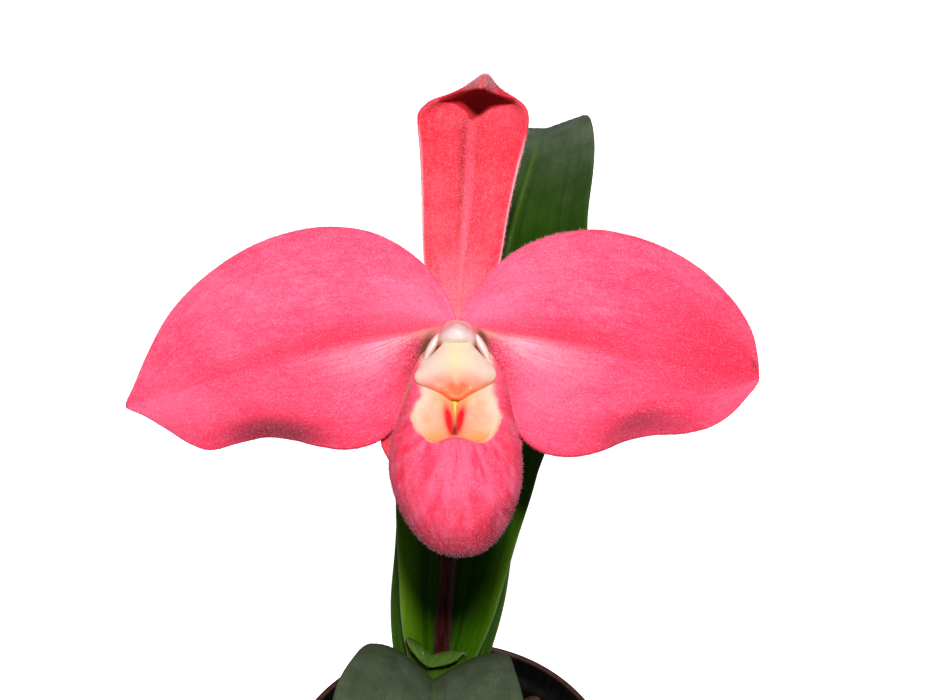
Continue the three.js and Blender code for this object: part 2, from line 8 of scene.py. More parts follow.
import math
from functools import reduce

import bpy
import numpy as np
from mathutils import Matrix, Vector, noise


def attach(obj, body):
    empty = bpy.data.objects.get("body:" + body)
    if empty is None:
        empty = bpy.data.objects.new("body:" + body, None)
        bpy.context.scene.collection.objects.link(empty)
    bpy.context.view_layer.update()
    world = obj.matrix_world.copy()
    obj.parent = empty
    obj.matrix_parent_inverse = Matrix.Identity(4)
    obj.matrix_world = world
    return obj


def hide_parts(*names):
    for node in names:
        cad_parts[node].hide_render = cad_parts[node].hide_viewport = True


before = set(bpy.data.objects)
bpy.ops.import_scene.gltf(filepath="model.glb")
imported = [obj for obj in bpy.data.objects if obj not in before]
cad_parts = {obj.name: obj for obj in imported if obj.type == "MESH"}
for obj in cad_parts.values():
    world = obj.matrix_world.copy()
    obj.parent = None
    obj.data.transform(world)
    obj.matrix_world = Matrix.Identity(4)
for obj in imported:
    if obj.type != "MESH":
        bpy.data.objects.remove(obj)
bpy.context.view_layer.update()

MM = 0.001
LEAF_THICKNESS = 1.2
BLADE_THICKNESS = 0.7
STEM_RADIUS = 1.4
BRACT_CLEARANCE = 0.75
HAIR_RADIUS = 0.028
STEM_HAIR_RADIUS = 0.03
HAIR_ROOT_DEPTH = 0.06
RIM_HAIRS_PER_MM = 11
POUCH_WALL = 0.9
POUCH_CENTRE_U = -0.35
POUCH_SIDES = 144
CROWN_X = -2.8
CROWN_Y = 0.5
CROWN_TOP = 54
MIX_TOP = 50
MIX_PARTS = 260
MIX_REACH = 27
POT_OUTSIDE_SHARE = 0.42
POT_RIBS = 16
DRAIN_SLOTS = 8
SLOT_DISTANCE = 15
SLOT_HALF_LENGTH = 3
SLOT_RADIUS = 1.5
SLOT_SIDES = 24
FLOOR_HALF_METRES = 3.0
SKY_STRENGTH = 0.2
KEY_WAY = (0.03, -0.575, 0.815)
KEY_DISTANCE = 1.1
KEY_SIZE = 0.07
KEY_POWER = 17
CAMERA_PLACE = (3.260, -225.141, 370.714)
MARGIN_CROWDING = 0.86
STEPS_PER_SPAN = 60
FLOWER_CENTRE = np.array([2.05, -18, 188.3])
LEAN_BACK = math.radians(48)
FLOWER_AXES = np.array([
    [1, 0, 0],
    [0, math.cos(LEAN_BACK), -math.sin(LEAN_BACK)],
    [0, math.sin(LEAN_BACK), math.cos(LEAN_BACK)],
])

# ------------------------------------------------------------------ shape tables, in mm
#
# Leaves: spine in the plant's frame, foot to tip. halfWidth, left (share of it on the left
# side), fold and twist (degrees) are (share of the length, value) knots.
# Petals, sepals and shield: left margin, midrib and right margin in the flower's frame, and
# puff, how far the left and the right half bulge toward the viewer along the blade.
# Pouch: rows from the toe up, with (v, w) of each row's front and back.
# Tones: shares and places of a petal's colour zones; a spot is (share, place, size, turn),
# and outer_end is where the outer zone fades, (2, 1) for not at all.

LEAVES = {
  "leaf_back_tall": {
    "spine": (
      (-2.8, 5, CROWN_TOP - 0.3), (-1.8, 6.5, 75), (0.5, 8.5, 102), (3.6, 13, 132), (7.6, 21, 156),
      (11.2, 30, 169), (14.4, 40, 174), (16.2, 49, 173.3), (18, 58, 168), (19.6, 66, 158),
    ),
    "halfWidth": (
      (0, 4.6), (0.14, 5.3), (0.27, 9.3), (0.36, 11), (0.41, 11.9), (0.46, 12.85), (0.49, 13.25),
      (0.55, 14.9), (0.66, 16.2), (0.75, 12.85), (0.8, 11.5), (0.93, 6), (1, 1),
    ),
    "left": ((0, 1), (0.1, 1.14), (0.2, 1.2), (0.38, 1.13), (0.46, 1.06), (0.55, 0.99), (0.6, 0.94),
             (0.67, 0.79), (0.74, 0.83), (0.8, 0.96)),
    "fold": ((0, 48), (0.15, 44), (0.35, 34), (0.55, 24), (0.75, 17), (1, 10)),
    "twist": ((0, 0), (0.5, 0), (0.75, -9), (1, -9)),
    "upper": 1,
  },
  "leaf_back_outer": {
    "spine": (
      (-2.8, 7.6, CROWN_TOP - 1.6), (-2, 10, 74), (-0.3, 13, 96), (1.6, 19, 117), (4.6, 30, 133),
      (8.5, 44, 140), (12, 58, 139), (15, 72, 130),
    ),
    "halfWidth": (
      (0, 6), (0.15, 8.8), (0.24, 10.2), (0.33, 11.6), (0.42, 12), (0.5, 11.8), (0.75, 10.8),
      (0.92, 7), (1, 1),
    ),
    "left": ((0, 1), (0.15, 0.98), (0.24, 1.05), (0.33, 1.02), (0.42, 0.95), (0.5, 0.97)),
    "fold": ((0, 44), (0.2, 36), (0.35, 28), (0.6, 20), (1, 10)),
    "upper": 1,
  },
  "leaf_front_arching": {
    "spine": (
      (-2.8, -6.4, CROWN_TOP - 1.4), (-2.8, -6.8, 70), (-2.8, -7.2, 85), (-2.7, -9.8, 97),
      (-2.4, -17, 105.5), (-2, -31, 109), (-1.5, -48, 104), (-1, -64, 92), (-0.6, -78, 75),
    ),
    "halfWidth": (
      (0, 6), (0.14, 8), (0.28, 13), (0.38, 15.6), (0.45, 16.6), (0.52, 17.4), (0.6, 17.2),
      (0.8, 13), (0.93, 8), (1, 1),
    ),
    "left": ((0, 1), (0.25, 0.93), (0.37, 0.9), (0.45, 1.06), (0.52, 1.17), (0.65, 1.15), (1, 1)),
    "fold": ((0, 46), (0.2, 44), (0.38, 40), (0.7, 24), (1, 10)),
    "twist": ((0, 0), (0.3, -6.5), (0.5, -5), (1, -4)),
    "margins": 0.4,
    "upper": -1,
  },
  "leaf_inner_young": {
    "spine": (
      (-2.8, -3.6, CROWN_TOP), (-2.8, -3.4, 72), (-2.7, -3.6, 88), (-2.7, -4.2, 96),
      (-3, -5.6, 99.6), (-3.4, -7.8, 99.8),
    ),
    "halfWidth": ((0, 3.6), (0.3, 4.6), (0.7, 6.6), (0.88, 7.4), (0.96, 5.6), (1, 0.8)),
    "fold": ((0, 42), (0.5, 42), (0.8, 44), (1, 30)),
    "twist": ((0, 0), (0.4, 0), (0.85, -14)),
    "margins": 0.4,
    "upper": -1,
  },
}

PETAL_LEFT = {
  "left": (
    (-2.3, -0.1, -1.7), (-4.7, -3.2, -1.8), (-7.6, -10, -2.6), (-9, -14, -2.8),
    (-11.5, -16.2, -2.6), (-15.5, -17.3, -2), (-19.5, -17, -2.4), (-23.6, -16.1, -3.6),
    (-27.7, -15.7, -4.4), (-31.7, -16.5, -4.2), (-35.7, -17.5, -4), (-38.7, -16.6, -4.8),
    (-42.1, -14.6, -5.8), (-45.6, -12.6, -6.8), (-48.4, -11.5, -7.4),
  ),
  "midrib": (
    (-1.2, 0.8, -1.8), (-5.5, -0.3, -2.4), (-10.5, -1.7, -2.2), (-18.3, -3.4, -1.8),
    (-25.5, -5, -2), (-32.7, -6.9, -3), (-40.2, -9.1, -5), (-48.5, -11.1, -7.4),
  ),
  "right": (
    (-0.2, 1.2, -1.2), (-1.15, 4, -1.3), (-2.75, 6.7, -1.3), (-5.3, 9.6, -1), (-9.35, 12.45, -0.6),
    (-13.4, 14, -0.6), (-19.4, 14.5, -1), (-25.4, 13.4, -1.6), (-31.5, 10.8, -2.4),
    (-37.7, 6.4, -3.6), (-41.9, 1.8, -4.6), (-45.1, -3.8, -5.8), (-47.3, -8.7, -6.8),
    (-48.4, -10.7, -7.2),
  ),
  "puff": ((0, 0, 0), (0.15, 0.8, 0.8), (0.4, 1.4, 2), (0.7, 1.4, 1.8), (1, 0, 0)),
}

PETAL_RIGHT = {
  "left": (
    (0.1, 1.2, -1.2), (1.3, 3.6, -1.3), (3.1, 6.3, -1.2), (6, 9.4, -0.8), (8.8, 11.4, -0.6),
    (12.4, 13, -0.5), (15.9, 13.8, -0.6), (19.9, 14.1, -1), (24.6, 13.3, -1.6), (28.9, 11.9, -2.4),
    (33.35, 9.6, -3.2), (37.1, 6.7, -4), (40.4, 3.2, -5), (42.6, -0.5, -5.8), (43.4, -3.7, -6.2),
    (43.7, -6.6, -6.6),
  ),
  "midrib": (
    (1, 0.8, -1.8), (4.6, -0.4, -2.4), (10.3, -1.7, -2.2), (18.9, -3.3, -1.8), (26, -4.6, -2.2),
    (34.8, -6.1, -4), (43.9, -7, -6.8),
  ),
  "right": (
    (2.1, -0.1, -1.7), (4.1, -3, -1.8), (6, -8.9, -2.6), (7.2, -12.3, -2.8), (9.4, -15.9, -2.6),
    (12, -17.7, -2), (16, -18.4, -2), (20.1, -17.7, -2.6), (24.2, -16.2, -3.8), (28.3, -15.4, -4.4),
    (32.3, -15.2, -4.4), (36.4, -14.2, -4.8), (39.4, -12.4, -5.4), (41.6, -10.2, -6),
    (43.1, -8.5, -6.4), (43.8, -7.4, -6.8),
  ),
  "puff": ((0, 0, 0), (0.15, 0.8, 0.8), (0.4, 2, 1.4), (0.7, 1.8, 1.4), (1, 0, 0)),
}

DORSAL_SEPAL = {
  "left": (
    (-0.5, 0.9, -2.7), (-2, 3.2, -3.2), (-4.2, 6.4, -3.8), (-4.9, 9.6, -4), (-5.25, 18.5, -4),
    (-5.5, 25.5, -3.2), (-5.8, 29.3, -2), (-5.65, 30.9, -1.6), (-4.3, 32.2, -1.2),
    (-1.8, 32.9, -0.6), (0.3, 33.4, 1.2), (1.6, 33.3, 4.2), (2.8, 33, 8.2),
  ),
  "midrib": (
    (0, 0.8, -2.7), (0, 5, -3.8), (0.1, 12.7, -4.4), (0.7, 21.4, -4.2), (1.7, 28.4, -3.8),
    (2.6, 32, -3.4), (3.4, 34.3, -2), (4, 35.3, 1), (3.8, 34.9, 5), (3.2, 33, 8.3),
  ),
  "right": (
    (0.5, 0.9, -2.7), (2, 3.2, -3.2), (4.6, 6.4, -3.8), (6, 9.6, -4), (7.2, 16.3, -4),
    (8.6, 22.7, -3.3), (9.8, 27.5, -2.2), (10.1, 29.9, -1.4), (9.7, 31.4, -0.9), (8.3, 32.4, -0.2),
    (5.6, 33, 1.8), (4.3, 33.1, 4.6), (3.6, 33, 8.2),
  ),
  "blunt": ((0.66, 0), (0.78, 0.2), (1, 0.2)),
  "puff": ((0, 0, 0), (0.3, -0.5, -0.5), (0.7, -0.9, -0.9), (1, 0, 0)),
}

SYNSEPAL = {
  "left": (
    (-2, -2.6, -3.6), (-6.5, -7, -4), (-9.8, -12, -4.2), (-11.2, -16, -4.4), (-9.9, -19.2, -4.6),
    (-6.2, -24, -4.6), (-2.6, -28, -4.4), (-0.5, -29.2, -4.2),
  ),
  "midrib": ((0, -2.6, -3.6), (0, -10, -5), (-0.2, -20, -5.4), (-0.2, -29.4, -4.2)),
  "right": (
    (2, -2.6, -3.6), (6, -7, -4), (8.8, -12, -4.2), (9.5, -15.6, -4.4), (8.1, -19.4, -4.6),
    (5.6, -24, -4.6), (2.2, -28, -4.4), (0.2, -29.2, -4.2),
  ),
  "puff": ((0, 0, 0), (0.5, -0.6, -0.6), (1, 0, 0)),
}

POUCH_OUTSIDE = (
  {"front": (-31.5, 8.4), "back": (-31.5, 7.2), "halfWidth": 1.1, "shift": 0.7},
  {"front": (-30.6, 10.8), "back": (-31, 4.6), "halfWidth": 3.3, "shift": 0.65},
  {"front": (-28.6, 12.8), "back": (-29, 1.6), "halfWidth": 5.7, "shift": 0.5},
  {"front": (-25.4, 14.4), "back": (-25.4, -0.6), "halfWidth": 7.8, "shift": 0.3},
  {"front": (-21.6, 15), "back": (-20, -2), "halfWidth": 9.1, "shift": 0.1},
  {"front": (-18.6, 14.4), "back": (-13.6, -2.4), "halfWidth": 9},
  {"front": (-16.5, 13.4), "back": (-8, -2.2), "halfWidth": 7.95, "shift": 0.15, "dip": 0.5,
   "lift": 0.2},
  {"front": (-15.2, 12.4), "back": (-3.2, -1.4), "halfWidth": 6.8, "shift": 0.25, "square": 0.2,
   "dip": 1.0, "lift": 0.75},
)
POUCH_LOBES = (
  {"front": (-14.9, 11.5), "back": (-2.4, -0.7), "halfWidth": 6.1, "shift": 0.15, "lift": 1.3,
   "square": 0.4, "dip": 1.0},
  {"front": (-14.6, 10.9), "back": (-2.9, 0.2), "halfWidth": 5, "lift": 1.8, "pinch": 0.3,
   "square": 0.4, "dip": 0.8},
  {"front": (-14.3, 10.3), "back": (-3.2, 0.5), "halfWidth": 3.9, "lift": 1.6, "pinch": 0.72,
   "square": 0.3, "dip": 0.3},
  {"front": (-13.9, 9.6), "back": (-3.4, 0.5), "halfWidth": 3.3, "lift": 0.4, "pinch": 0.985,
   "square": 0.2},
)
POUCH_UNDERSIDE = (
  {"front": (-13.9, 8.6), "back": (-3.6, 0), "halfWidth": 3.4, "lift": -1.2, "pinch": 0.97},
  {"front": (-14.6, 9.4), "back": (-4, -0.3), "halfWidth": 5, "lift": -0.2, "pinch": 0.3},
)

CREAM_LOW = (
  (-6.6, -12.3), (-5.9, -13.8), (-4.5, -15), (-3.2, -15.6), (-1, -14.8), (-0.3, -14.7),
  (1.2, -15.15), (3.3, -15.6), (4.9, -14.8), (5.9, -13.2), (6.1, -12.3),
)
CREAM_LEFT = (
  (-15, -4.5), (-13.8, -5.9), (-12.3, -6.5), (-11.8, -6.5), (-10.6, -5.9), (-9.5, -5), (-8.1, -5.3),
)
CREAM_RIGHT = ((-14.8, 4.9), (-13.2, 5.9), (-11.8, 6), (-10.6, 5.4), (-8.6, 4.9))
LOBE_SEAM = (
  (-0.38, -8.4, 6.4), (-0.38, -9.6, 7.1), (-0.4, -10.4, 7.55), (-0.42, -12, 8.2),
  (-0.45, -13, 8.95), (-0.48, -14, 9.75),
)
# Lower edge of the painted shade under the sepal's hooded tip, as (u, v) knots.
HOOD_SHADE = (
  (-3.2, 32.7), (-0.85, 32.5), (0.7, 31.6), (1.3, 31), (1.87, 30), (2.4, 30.2), (3.3, 30.8),
  (4.15, 31.4), (5.6, 31.9), (8.1, 32.4), (9.5, 33),
)

# In the tones, patch places the painted shade where the lower margin rolls back.
LEFT_TONE = {
  "base_line": ((-7.8, -10.2), (-3.1, -0.7)),
  "low": ((0, 0.5), (0.12, 0.35), (0.3, 0.5), (0.6, 0.5), (0.8, 0.1)),
  "tip": 0.2, "outer": 0.52, "outer_end": (0.98, 0.72), "near": 0.45,
  "inner": 1, "inner_reach": 3.1, "frost": 0.62,
  "patch": ((-26.6, -15.2), (6.6, 2.2)), "shade_patch_share": 1.25,
  "wedge": ((-4.5, -2.55), (2.1, 0.8), 62),
  "deep_spots": ((0.6, (-20.5, -5.6), (4, 1.3)),),
  "pale_spots": ((0.3, (-30, 3.4), (9, 4.5)), (0.45, (-40, -10.4), (5.5, 2.6))),
  "dark_spots": (),
}
RIGHT_TONE = {
  "base_line": ((2.85, -0.85), (6.7, -8.1)),
  "low": ((0, 0.35), (0.1, 0.05), (0.3, 0.1), (0.55, 0.55), (0.8, 0.3)),
  "tip": 0.95, "outer": 0.45, "outer_end": (2, 1), "near": 0.35,
  "inner": 0.85, "inner_reach": 2.7, "frost": 0.82,
  "patch": ((26.6, -12.0), (5.4, 1.6), 20), "shade_patch_share": 0.7,
  "wedge": ((3.55, -1.4), (1.5, 0.45), -53.6),
  "deep_spots": ((0.55, (27.5, 7), (7, 3.5)),),
  "pale_spots": (
    (0.45, (11.5, -9.5), (5, 5)), (0.5, (8.5, 7), (5, 4)), (0.45, (11.3, -5.4), (4, 2.4)),
  ),
  "dark_spots": ((0.8, (42.8, -5.2), (0.5, 1.0), 15),),
}

SHIELD = {
  "left": (
    (-1.8, -2.0, 4.7), (-3.4, -3.7, 5.3), (-4.9, -5.3, 5.8), (-5.95, -6.6, 6.4), (-5.75, -7.5, 6.9),
    (-4.3, -8.1, 7.4), (-2.6, -8.9, 7.9), (-0.9, -9.9, 8.4),
  ),
  "midrib": ((-0.1, -1.5, 4.9), (-0.1, -5, 6.8), (-0.1, -7.5, 7.9), (-0.1, -10, 8.5)),
  "right": (
    (1.6, -2.0, 4.7), (3, -3.6, 5.3), (4.1, -4.9, 5.8), (5.1, -5.9, 6.3), (5.2, -7, 6.8),
    (4.1, -7.9, 7.3), (2.3, -8.8, 7.9), (0.8, -9.9, 8.4),
  ),
  "puff": ((0, 0, 0), (0.4, 0.6, 0.6), (1, 0, 0)),
}

# Outlines turned about an axis, as (radius, height).
KNOB = (
  (0.01, -3.8), (1.6, -3.8), (2.5, -1.2), (2.75, 1.2), (2.95, 2.8), (2.7, 4.3), (2.1, 5.4),
  (1.2, 6.15), (0.01, 6.45),
)
POT = (
  (0.01, 0.5), (9, 0.5), (21.4, 0.5), (22.2, 0), (23, 0.25), (23.15, 1.2), (25.6, 18), (28.1, 35),
  (30.3, 50.4), (30.7, 51.3), (31.7, 51.6), (32, 52.4), (32.2, 55), (32.4, 57), (32.3, 57.8),
  (31.9, 58), (31.3, 57.7), (31.15, 57), (30.9, 54), (30.55, 52.9), (29.3, 51.2), (29, 49),
  (26.6, 34), (24.2, 18), (21.9, 3), (21, 2), (9, 2), (0.01, 2),
)
MIX = (
  (0.01, 2.3), (21.2, 2.3), (21.7, 3), (24.2, 20), (26.5, 36), (28.3, 48.5), (27.6, 49.4),
  (23, 49.6), (17, 49.7), (11, 49.7), (5, 49.7), (0.01, 49.7),
)

# Heading in degrees, distance from the pot's axis, length and turn in degrees.
BARK_CHIPS = (
  (-38, 22, 9, 20), (-5, 24, 8, 70), (28, 21, 10, -30), (62, 23, 8, 15), (98, 20, 9, -10),
  (128, 24, 8, 50), (160, 19, 10, 80), (196, 23, 8, -20), (228, 22, 9, 35), (262, 23, 9, -55),
  (292, 20, 7, 5),
)

# Heading in degrees, reach and depth.
ROOTS = ((15, 19, 28), (88, 13, 36), (160, 17, 26), (235, 14, 38), (305, 18, 30))

# ------------------------------------------------------------------ curves and surfaces


def unit(a):
    """Vectors scaled to length 1."""
    return a / np.maximum(np.linalg.norm(a, axis=-1, keepdims=True), 1e-12)


def smooth(x, low, high):
    """0 at low, 1 at high, eased at both ends."""
    f = np.clip((x - low) / (high - low), 0, 1)
    return f * f * (3 - 2 * f)


def bell(x, width):
    """1 where x is 0, fading to 0 over about two widths."""
    return np.exp(-(x / width) ** 2)


def most(*layers):
    """The largest of the layers, point by point."""
    return reduce(np.maximum, layers)


def spot(u, v, at, size, turn=0):
    """1 at a point and fading to 0 around it, as an oval of the given half-lengths."""
    a = math.radians(turn)
    x = (u - at[0]) * math.cos(a) + (v - at[1]) * math.sin(a)
    y = (v - at[1]) * math.cos(a) - (u - at[0]) * math.sin(a)
    return np.exp(-(x / size[0]) ** 2 - (y / size[1]) ** 2)


def spots(u, v, rows):
    """A layer for each (share, place, size, turn) row, the turn left out where it is 0."""
    return [share * spot(u, v, *oval) for share, *oval in rows]


def beside(u, v, a, b):
    """Distance from the line through a and b, above 0 to the left of the way from a to b."""
    du, dv = b[0] - a[0], b[1] - a[1]
    return (du * (v - a[1]) - dv * (u - a[0])) / math.hypot(du, dv)


def circle(count):
    """Angles of count points spread evenly round a circle."""
    return 2 * math.pi * np.arange(count) / count


def profile(knots, t):
    """Smooth value at t through (t, value) knots, level beyond both ends."""
    x, y = np.array(knots, float).T
    t = np.clip(np.asarray(t, float), x[0], x[-1])
    if len(x) == 1:
        return np.full(t.shape, y[0])
    i = np.clip(np.searchsorted(x, t, side="right") - 1, 0, len(x) - 2)
    k = np.arange(len(x))
    after, before = np.minimum(k + 1, len(x) - 1), np.maximum(k - 1, 0)
    slope = (y[after] - y[before]) / (x[after] - x[before])
    step = x[i + 1] - x[i]
    f = (t - x[i]) / step
    rise = y[i + 1] - y[i]
    bend_in = slope[i] * step - rise
    bend_out = rise - slope[i + 1] * step
    return y[i] + f * rise + f * (1 - f) * ((1 - f) * bend_in + f * bend_out)


def spline(rows, per):
    """Centripetal Catmull-Rom through rows of points, per steps to each span."""
    p = np.array(rows, float)
    p = np.concatenate([[2 * p[0] - p[1]], p, [2 * p[-1] - p[-2]]])
    f = (np.arange(per) / per).reshape((-1,) + (1,) * (p.ndim - 1))
    made = []
    for p0, p1, p2, p3 in zip(p, p[1:], p[2:], p[3:]):
        d0, d1, d2 = (
            np.maximum(np.linalg.norm(b - a, axis=-1, keepdims=True), 1e-6) ** 0.5
            for a, b in ((p0, p1), (p1, p2), (p2, p3)))
        m1 = ((p1 - p0) / d0 - (p2 - p0) / (d0 + d1) + (p2 - p1) / d1) * d1
        m2 = ((p2 - p1) / d1 - (p3 - p1) / (d1 + d2) + (p3 - p2) / d2) * d1
        made.append(p1 + m1 * f + (3 * (p2 - p1) - 2 * m1 - m2) * f ** 2
                    + (2 * (p1 - p2) + m1 + m2) * f ** 3)
    made.append(p[-2:-1])
    return np.concatenate(made)


class Curve:
    """Smooth curve through points, read at a share of its length."""

    def __init__(self, points):
        self.points = spline(points, STEPS_PER_SPAN)
        steps = np.linalg.norm(np.diff(self.points, axis=0), axis=1)
        self.length = steps.sum()
        self.share = np.concatenate([[0], np.cumsum(steps)]) / self.length

    def at(self, t):
        return np.stack([np.interp(t, self.share, c) for c in self.points.T], -1)

    def tangent(self, t):
        step = 2e-3
        return unit(self.at(np.clip(t + step, 0, 1)) - self.at(np.clip(t - step, 0, 1)))


def rows_and_columns(rows, columns):
    """Grids of t, 0 to 1 from foot to tip, and s, -1 to 1 across and denser at the margins."""
    bend = math.pi / 2 * MARGIN_CROWDING
    s = np.sin(np.linspace(-1, 1, columns + 1) * bend) / math.sin(bend)
    return np.meshgrid(np.linspace(0, 1, rows + 1), s, indexing="ij")


def leaf_surface(leaf, t, s):
    """Strap leaf along its spine, folded along the midrib."""
    spine = Curve(leaf["spine"])
    row = t[:, 0]
    tangent = spine.tangent(row)
    side = unit(np.array([1.0, 0, 0]) - tangent * tangent[:, :1])
    turn = np.radians(profile(leaf.get("twist", ((0, 0),)), row))[:, None]
    side = side * np.cos(turn) + np.cross(tangent, side) * np.sin(turn)
    normal = np.cross(side, tangent) * leaf["upper"]
    angle = np.radians(profile(leaf["fold"], row))[:, None]
    reach = profile(leaf["halfWidth"], row)[:, None] * np.abs(s)
    reach *= np.where(s < 0, profile(leaf.get("left", ((0, 1),)), row)[:, None], 1)
    lift = (np.sqrt(reach ** 2 + 0.25) - 0.5) * (1 - leaf.get("margins", 0) * s ** 2)
    across = reach * np.cos(angle) * np.sign(s)
    return (spine.at(row)[:, None] + side[:, None] * across[..., None]
            + normal[:, None] * (lift * np.sin(angle))[..., None])


def blade_surface(blade, t, s, crease):
    """Petal or sepal between its margins and midrib, in the flower's frame."""
    row = t[:, 0]
    left, middle, right = (
        Curve(blade[k]).at(row)[:, None] for k in ("left", "midrib", "right"))
    reach = np.abs(s)
    away = np.where((s < 0)[..., None], left, right) - middle
    blunt = profile(blade.get("blunt", ((0, 0),)), row)[:, None]
    eased = (np.sqrt(s ** 2 + blunt ** 2) - blunt) / (np.sqrt(1 + blunt ** 2) - blunt)
    p = middle + away * np.stack([reach, eased, eased], -1)
    puff_left, puff_right = (
        profile([(k[0], k[i]) for k in blade["puff"]], row)[:, None] for i in (1, 2))
    soft = np.sqrt(reach ** 2 + crease ** 2) - crease
    p[..., 2] += np.where(s < 0, puff_left, puff_right) * np.sin(math.pi * np.clip(soft, 0, 1))
    return p


def to_plant(p):
    """Points of the flower's frame turned into the plant's frame."""
    return p @ FLOWER_AXES.T + FLOWER_CENTRE


def bumps(p, scale, seed, stretch=(1, 1, 1)):
    """Smooth noise from -1 to 1 at points, with features about 1/scale mm across."""
    q = (p.reshape(-1, 3) * np.array(stretch) * scale + seed * 17.3).tolist()
    return np.array([noise.noise(v) for v in q]).reshape(p.shape[:-1])


# ------------------------------------------------------------------ mesh building
#
# A part is a dictionary of points in mm, faces and marks. A mark is a number at each point
# that the materials read by its name.


def grid_normals(p, closed=False):
    """Normals at a grid of points, whose last column meets its first if it is closed."""
    along = np.gradient(p, axis=0)
    if closed:
        across = (np.roll(p, -1, 1) - np.roll(p, 1, 1)) / 2
    else:
        across = np.gradient(p, axis=1)
    n = unit(np.cross(along, across))
    bad = ~np.isfinite(n).all(-1) | (np.linalg.norm(n, axis=-1) < 0.5)
    n[bad] = (0, 0, 1)
    return n


def quads_of(ids):
    """Faces between neighbours in a grid of point numbers."""
    corners = [ids[:-1, :-1], ids[1:, :-1], ids[1:, 1:], ids[:-1, 1:]]
    return np.stack(corners, -1).reshape(-1, 4)


def outward_faces(part):
    """The part with its faces turned to point outward."""
    p = part["points"]
    volume = sum(
        np.einsum("ij,ij->i", p[f[:, 0]], np.cross(p[f[:, k]], p[f[:, k + 1]])).sum()
        for f in part["faces"] for k in range(1, f.shape[1] - 1))
    if volume < 0:
        part["faces"] = [f[:, ::-1] for f in part["faces"]]
    return part


def sheet_part(p, half, marks):
    """Closed sheet around the mid surface p, half its thickness on each side."""
    n, m = p.shape[:2]
    normal = grid_normals(p)
    rim = np.ones((n, m), bool)
    rim[1:-1, 1:-1] = False
    front_ids = np.arange(n * m).reshape(n, m)
    back_ids = front_ids.copy()
    back_ids[~rim] = n * m + np.arange((~rim).sum())
    front = np.where(rim[..., None], p, p + normal * half[..., None])
    back = p - normal * half[..., None]
    marks = {k: np.broadcast_to(v, (n, m)) for k, v in marks.items()}
    made = {k: np.concatenate([v.ravel(), v[~rim]]) for k, v in marks.items()}
    made["under"] = np.concatenate([np.where(rim, 0.5, 0).ravel(), np.ones((~rim).sum())])
    return {
        "points": np.concatenate([front.reshape(-1, 3), back[~rim]]),
        "faces": [quads_of(front_ids), quads_of(back_ids)[:, ::-1]],
        "marks": made,
    }


def ring_part(p, marks):
    """Closed body through rings of points p[ring, around], with a point at each end."""
    n, m = p.shape[:2]
    ids = np.arange(n * m).reshape(n, m)
    ids = np.concatenate([ids, ids[:, :1]], 1)
    ends = np.array([p[0].mean(0), p[-1].mean(0)])
    first = np.stack([np.full(m, n * m), ids[0, :-1], ids[0, 1:]], -1)
    last = np.stack([np.full(m, n * m + 1), ids[-1, 1:], ids[-1, :-1]], -1)
    marks = {k: np.broadcast_to(v, (n, m)) for k, v in marks.items()}
    made = {k: np.concatenate([v.ravel(), [v[0].mean(), v[-1].mean()]]) for k, v in marks.items()}
    return outward_faces({
        "points": np.concatenate([p.reshape(-1, 3), ends]),
        "faces": [quads_of(ids), first, last],
        "marks": made,
    })


def hair_part(p, normal, marks, density, length, rng, radius=HAIR_RADIUS, lean=0.5, closed=False):
    """Fine tapering hairs standing on the surface p, density of them to a square mm."""
    if closed:
        p, normal, density = (np.concatenate([a, a[:, :1]], 1) for a in (p, normal, density))
        marks = {k: np.concatenate([v, v[:, :1]], 1) for k, v in marks.items()}
    edge_a = p[1:, :-1] - p[:-1, :-1]
    edge_b = p[:-1, 1:] - p[:-1, :-1]
    area = np.linalg.norm(np.cross(edge_a, edge_b), axis=-1)
    weight = (area * density[:-1, :-1]).ravel()
    count = int(weight.sum())
    cell = np.searchsorted(np.cumsum(weight), rng.random(count) * weight.sum())
    i, j = np.unravel_index(np.clip(cell, 0, weight.size - 1), area.shape)
    a, b = rng.random(count), rng.random(count)

    def read(grid):
        fa, fb = (a, b) if grid.ndim == 2 else (a[:, None], b[:, None])
        low = grid[i, j] * (1 - fb) + grid[i, j + 1] * fb
        high = grid[i + 1, j] * (1 - fb) + grid[i + 1, j + 1] * fb
        return low * (1 - fa) + high * fa

    root, up = read(p), unit(read(normal))
    return hairs_at(root, up, {k: read(v) for k, v in marks.items()}, length, rng, radius, lean)


def hairs_at(root, up, marks, length, rng, radius, lean):
    """Closed three-sided spikes rooted just under the skin."""
    count = len(root)
    way = unit(up + lean * rng.normal(size=(count, 3)) * 0.6)
    side = unit(np.cross(way, rng.normal(size=(count, 3))))
    other = np.cross(way, side)
    reach = (length * rng.uniform(0.6, 1.25, count))[:, None]
    foot = root - up * HAIR_ROOT_DEPTH
    points = [foot + radius * (side * math.cos(k) + other * math.sin(k)) for k in circle(3)]
    points.append(root + way * reach)
    base = np.arange(count)
    faces = [np.stack([base + a * count, base + b * count, base + c * count], -1)
             for a, b, c in ((0, 1, 3), (1, 2, 3), (2, 0, 3), (2, 1, 0))]
    made = {k: np.tile(v, 4) for k, v in marks.items()}
    made["hair"] = np.concatenate([np.full(3 * count, 0.35), np.ones(count)])
    return {"points": np.concatenate(points), "faces": faces, "marks": made}


def place(name, data):
    """A new object in the scene."""
    made = bpy.data.objects.new(name, data)
    bpy.context.collection.objects.link(made)
    return made


